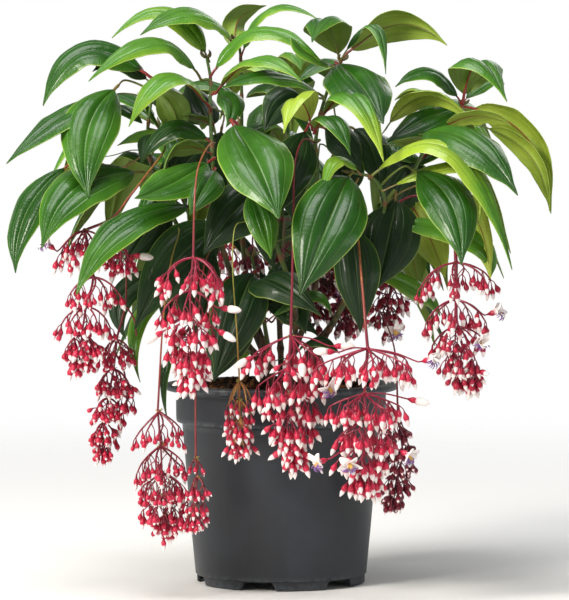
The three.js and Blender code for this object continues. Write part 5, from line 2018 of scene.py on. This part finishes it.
MIDDLE_SPRAY = Spray("middle", [
    (30, -24, 270), (31, -4, 262), (32, 10, 246),
], [
    Whorl((32, 12, 242), 11, 5, 5, 0.9), Whorl((30, 12, 225), 13, 5, 5, 0.8),
    Whorl((27, 12, 208), 10, 5, 4, 0.8), Whorl((-21, 10, 246), 8, 3, 4, 1.1),
    Whorl((-21, 10, 236), 6, 3, 3, 1.1), Whorl((-8, 0, 214), 9, 4, 5, 0.8),
    Whorl((22, 6, 234), 7, 4, 4, 1.0), Whorl((22, 6, 220), 7, 4, 4, 1.0),
    Whorl((15, 2, 208), 8, 4, 4, 0.9), Whorl((48, 6, 212), 9, 4, 5, 0.9),
    Whorl((47, 6, 198), 8, 4, 5, 0.9), Whorl((2, 2, 244), 8, 4, 4, 1.0),
], (27, 12, 190), 0.3, tone=Tone.MAROON_SHADE, golden=0.0,
    twigs=[[(31, -4, 262), (4, 4, 266), (-18, 10, 262), (-21, 10, 232)],
           [(31, -4, 262), (10, 2, 250), (-4, 0, 236), (-8, 0, 212)],
           [(31, -4, 262), (25, 4, 248), (22, 6, 234), (22, 6, 218)],
           [(22, 6, 220), (17, 4, 215), (15, 2, 206)], [(10, 2, 250), (5, 2, 249), (2, 2, 242)],
           [(32, 10, 246), (44, 8, 234), (48, 6, 212), (47, 6, 196)]],
    blooms=[((42, -20, 214), (0.6, -0.7, 0.2))])
FRONT_RIGHT_SPRAY = Spray("front_right", [
    (55, -88, 297), (47, -96, 280), (53, -112, 262), (56, -134, 230), (58, -152, 203), (60, -156, 180),
], [
    Whorl((60, -156, 180), 36, 7.4, 7, 0.32), Whorl((58, -156, 149), 28, 7.2, 6, 0.3),
    Whorl((59, -156, 131), 23, 6.6, 6, 0.5), Whorl((57, -156, 114), 17, 6, 5, 0.6),
    Whorl((58, -156, 99), 11, 5, 5, 0.7),
], (60, -156, 86), 0.9, redness=0.9, foot_redness=0.22, golden=0.3, thickness=1.05, arch=0.15,
    bud_size=1.08,
    blooms=[((101, -160, 172), (0.7, -0.6, 0.2)), ((28, -180, 104), (-0.75, -0.5, -0.2)),
            ((47, -184, 104), (0.1, -0.8, -0.5)), ((86, -166, 108), (0.75, -0.5, -0.4))],
    swelling=[((89, -160, 145), (0.95, -0.2, -0.2)), ((36, -164, 178), (-0.95, -0.2, 0.05))])
RIGHT_SPRAY = Spray("right", [
    (67, -62, 253), (74, -50, 270), (96, -42, 284), (114, -62, 275), (122, -98, 257), (123, -112, 238),
], [
    Whorl((123, -112, 238), 28, 5.6, 6, 0.5), Whorl((123, -112, 212), 23, 5.4, 5, 0.6),
    Whorl((124, -112, 193), 20, 5.4, 5, 0.65), Whorl((128, -112, 178), 14, 5, 5, 0.8),
    Whorl((131, -112, 164), 9, 5, 5),
], (132, -112, 156), 0.7, tone=Tone.RUBY, redness=0.95, foot_redness=0.8, golden=0.0, thickness=1.25,
    blooms=[((149, -120, 203), (0.85, -0.4, 0.25)), ((138, -136, 184), (0.35, -0.85, -0.05))])
RIGHT_LOW_SPRAY = Spray("right_low", [
    (47, -51, 205), (66, -62, 206), (80, -66, 180), (84, -66, 126),
], [
    Whorl((83, -66, 125), 8, 4, 4, 1.0), Whorl((86, -66, 112), 9, 4, 5, 0.9),
    Whorl((87, -66, 99), 9, 4, 5, 0.9), Whorl((84, -66, 86), 9, 4, 5, 0.9),
    Whorl((82, -66, 75), 6, 4, 4, 0.9),
], (81, -66, 66), 0.05, tone=Tone.MAROON_SHADE, golden=0.0, thickness=0.75)
RIGHT_INNER_SPRAY = Spray("right_inner", [
    (83, -8, 262), (80, 10, 252), (78, 20, 238),
], [
    Whorl((78, 22, 234), 11, 5, 5, 0.9), Whorl((81, 22, 217), 12, 5, 5, 0.8),
    Whorl((79, 22, 202), 10, 5, 5, 0.8),
], (78, 22, 186), 0.3, tone=Tone.GARNET_SHADE, golden=0.0,
    blooms=[((95, -6, 212), (0.5, -0.8, 0.1)), ((82, -8, 186), (0.4, -0.7, -0.4))])
REAR_LEFT_SPRAY = Spray("rear_left", [
    (-1, 104, 298), (-26, 128, 300), (-44, 146, 284), (-48, 150, 262),
], even_whorls((-48, 150, 262), 90, 19, 5, 5), (-48, 150, 186), 0.7)
REAR_RIGHT_SPRAY = Spray("rear_right", [
    (9, 106, 292), (32, 128, 294), (52, 144, 278), (56, 148, 252),
], even_whorls((56, 148, 252), 88, 18, 5, 5), (56, 148, 178), 0.6)
STEMS = (
    LEFT_STEM, FRONT_LEFT_STEM, UPPER_LEFT_STEM, CROWN_STEM, CENTRE_STEM, UPPER_RIGHT_STEM, RIGHT_STEM,
    LOW_LEFT_STEM, LOW_FRONT_STEM, REAR_LEFT_STEM, REAR_STEM, REAR_RIGHT_STEM,
)
SPRAYS = (
    LEFT_SPRAY, LEFT_LOW_SPRAY, FRONT_LEFT_SPRAY, POT_LEFT_SPRAY, POT_FRONT_LEFT_SPRAY, POT_FRONT_SPRAY,
    FRONT_SPRAY, MIDDLE_SPRAY, FRONT_RIGHT_SPRAY, RIGHT_SPRAY, RIGHT_LOW_SPRAY, RIGHT_INNER_SPRAY,
    REAR_LEFT_SPRAY, REAR_RIGHT_SPRAY,
)


# ---- studio ----


@dataclass(frozen=True)
class Softbox:
    """A square soft light aimed at the plant."""

    name: str
    place: Triple
    size: float
    power: float
    tint: str = "#ffffff"
    aim: Triple = (0.0, 0.0, 0.22)

    def build(self) -> None:
        """Hang the light."""
        data = bpy.data.lights.new(self.name, "AREA")
        data.energy = self.power
        data.size = self.size
        data.color = colour(self.tint)[:3]
        lamp = bpy.data.objects.new(self.name, data)
        lamp.location = self.place
        lamp.rotation_euler = (Vector(self.aim) - Vector(self.place)).to_track_quat("-Z", "Y").to_euler()
        bpy.context.scene.collection.objects.link(lamp)


@dataclass
class Studio:
    """Plain pale floor, soft lights and the camera, in metres."""

    camera_place: Triple = (0.0026, -2.6, 0.315)
    look_down: float = 2.38
    lens: float = 212.8
    sensor: float = 36.0
    floor_radius: float = 60.0
    floor_sides: int = 64
    sky_bright: float = 0.5
    sky_dim: float = 0.2
    bright_below: float = 0.12
    dim_above: float = 0.42
    lights: tuple[Softbox, ...] = (
        Softbox("key_light", (-1.85, -1.8, 1.6), 0.9, 86.0, "#fff9ee"),
        Softbox("fill_light", (1.9, -1.6, 0.8), 0.8, 4.0),
        Softbox("top_light", (-0.3, -0.5, 2.3), 1.3, 33.0),
        Softbox("back_light", (0.8, 1.9, 1.5), 1.0, 8.0),
    )

    def floor(self) -> None:
        """Lay the floor."""
        mesh = bpy.data.meshes.new("studio_floor")
        edge = ring(self.floor_radius, circle(self.floor_sides), -0.0005)
        mesh.from_pydata(edge.tolist(), [], [list(range(self.floor_sides))])
        mesh.materials.append(StudioFloor().material())
        made = bpy.data.objects.new("studio_floor", mesh)
        bpy.context.scene.collection.objects.link(made)

    def sky(self) -> None:
        """Light the room evenly, brighter towards the horizon than overhead, and show it white."""
        world = bpy.data.worlds.new("studio_room")
        room = Nodes(world)
        parts = room.node("SeparateXYZ", {0: room.node("TexCoord", {}).outputs["Generated"]})
        heights = {"Value": parts.outputs["Z"], "From Min": self.bright_below, "From Max": self.dim_above}
        shade = room.node("MapRange", {**heights, "To Min": self.sky_bright, "To Max": self.sky_dim})
        seen = room.node("LightPath", {}).outputs["Is Camera Ray"]
        strength = room.calc("MAXIMUM", seen, shade.outputs["Result"])
        light = room.node("Background", {"Color": "#ffffff", "Strength": strength})
        room.node("OutputWorld", {0: light.outputs[0]})
        bpy.context.scene.world = world

    def camera(self) -> None:
        """Set up the camera, level with the plant and looking a little down."""
        data = bpy.data.cameras.new("camera")
        data.lens = self.lens
        data.sensor_width = self.sensor
        made = bpy.data.objects.new("camera", data)
        made.location = self.camera_place
        made.rotation_euler = (math.radians(90 - self.look_down), 0, 0)
        bpy.context.scene.collection.objects.link(made)
        bpy.context.scene.camera = made

    def build(self) -> None:
        """Set up the studio."""
        self.floor()
        self.sky()
        self.camera()
        for light in self.lights:
            light.build()
        bpy.context.scene.view_settings.view_transform = "Standard"


def main() -> None:
    """Dress the whole plant."""
    logging.basicConfig(level=logging.INFO, format="%(message)s")
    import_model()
    Studio().build()
    finishes = Finishes.build()
    Pot().build(finishes)
    Soil().build(finishes)
    for stem in STEMS:
        stem.build(finishes)
    for spray in SPRAYS:
        spray.build(finishes)


if __name__ == "__main__":
    main()
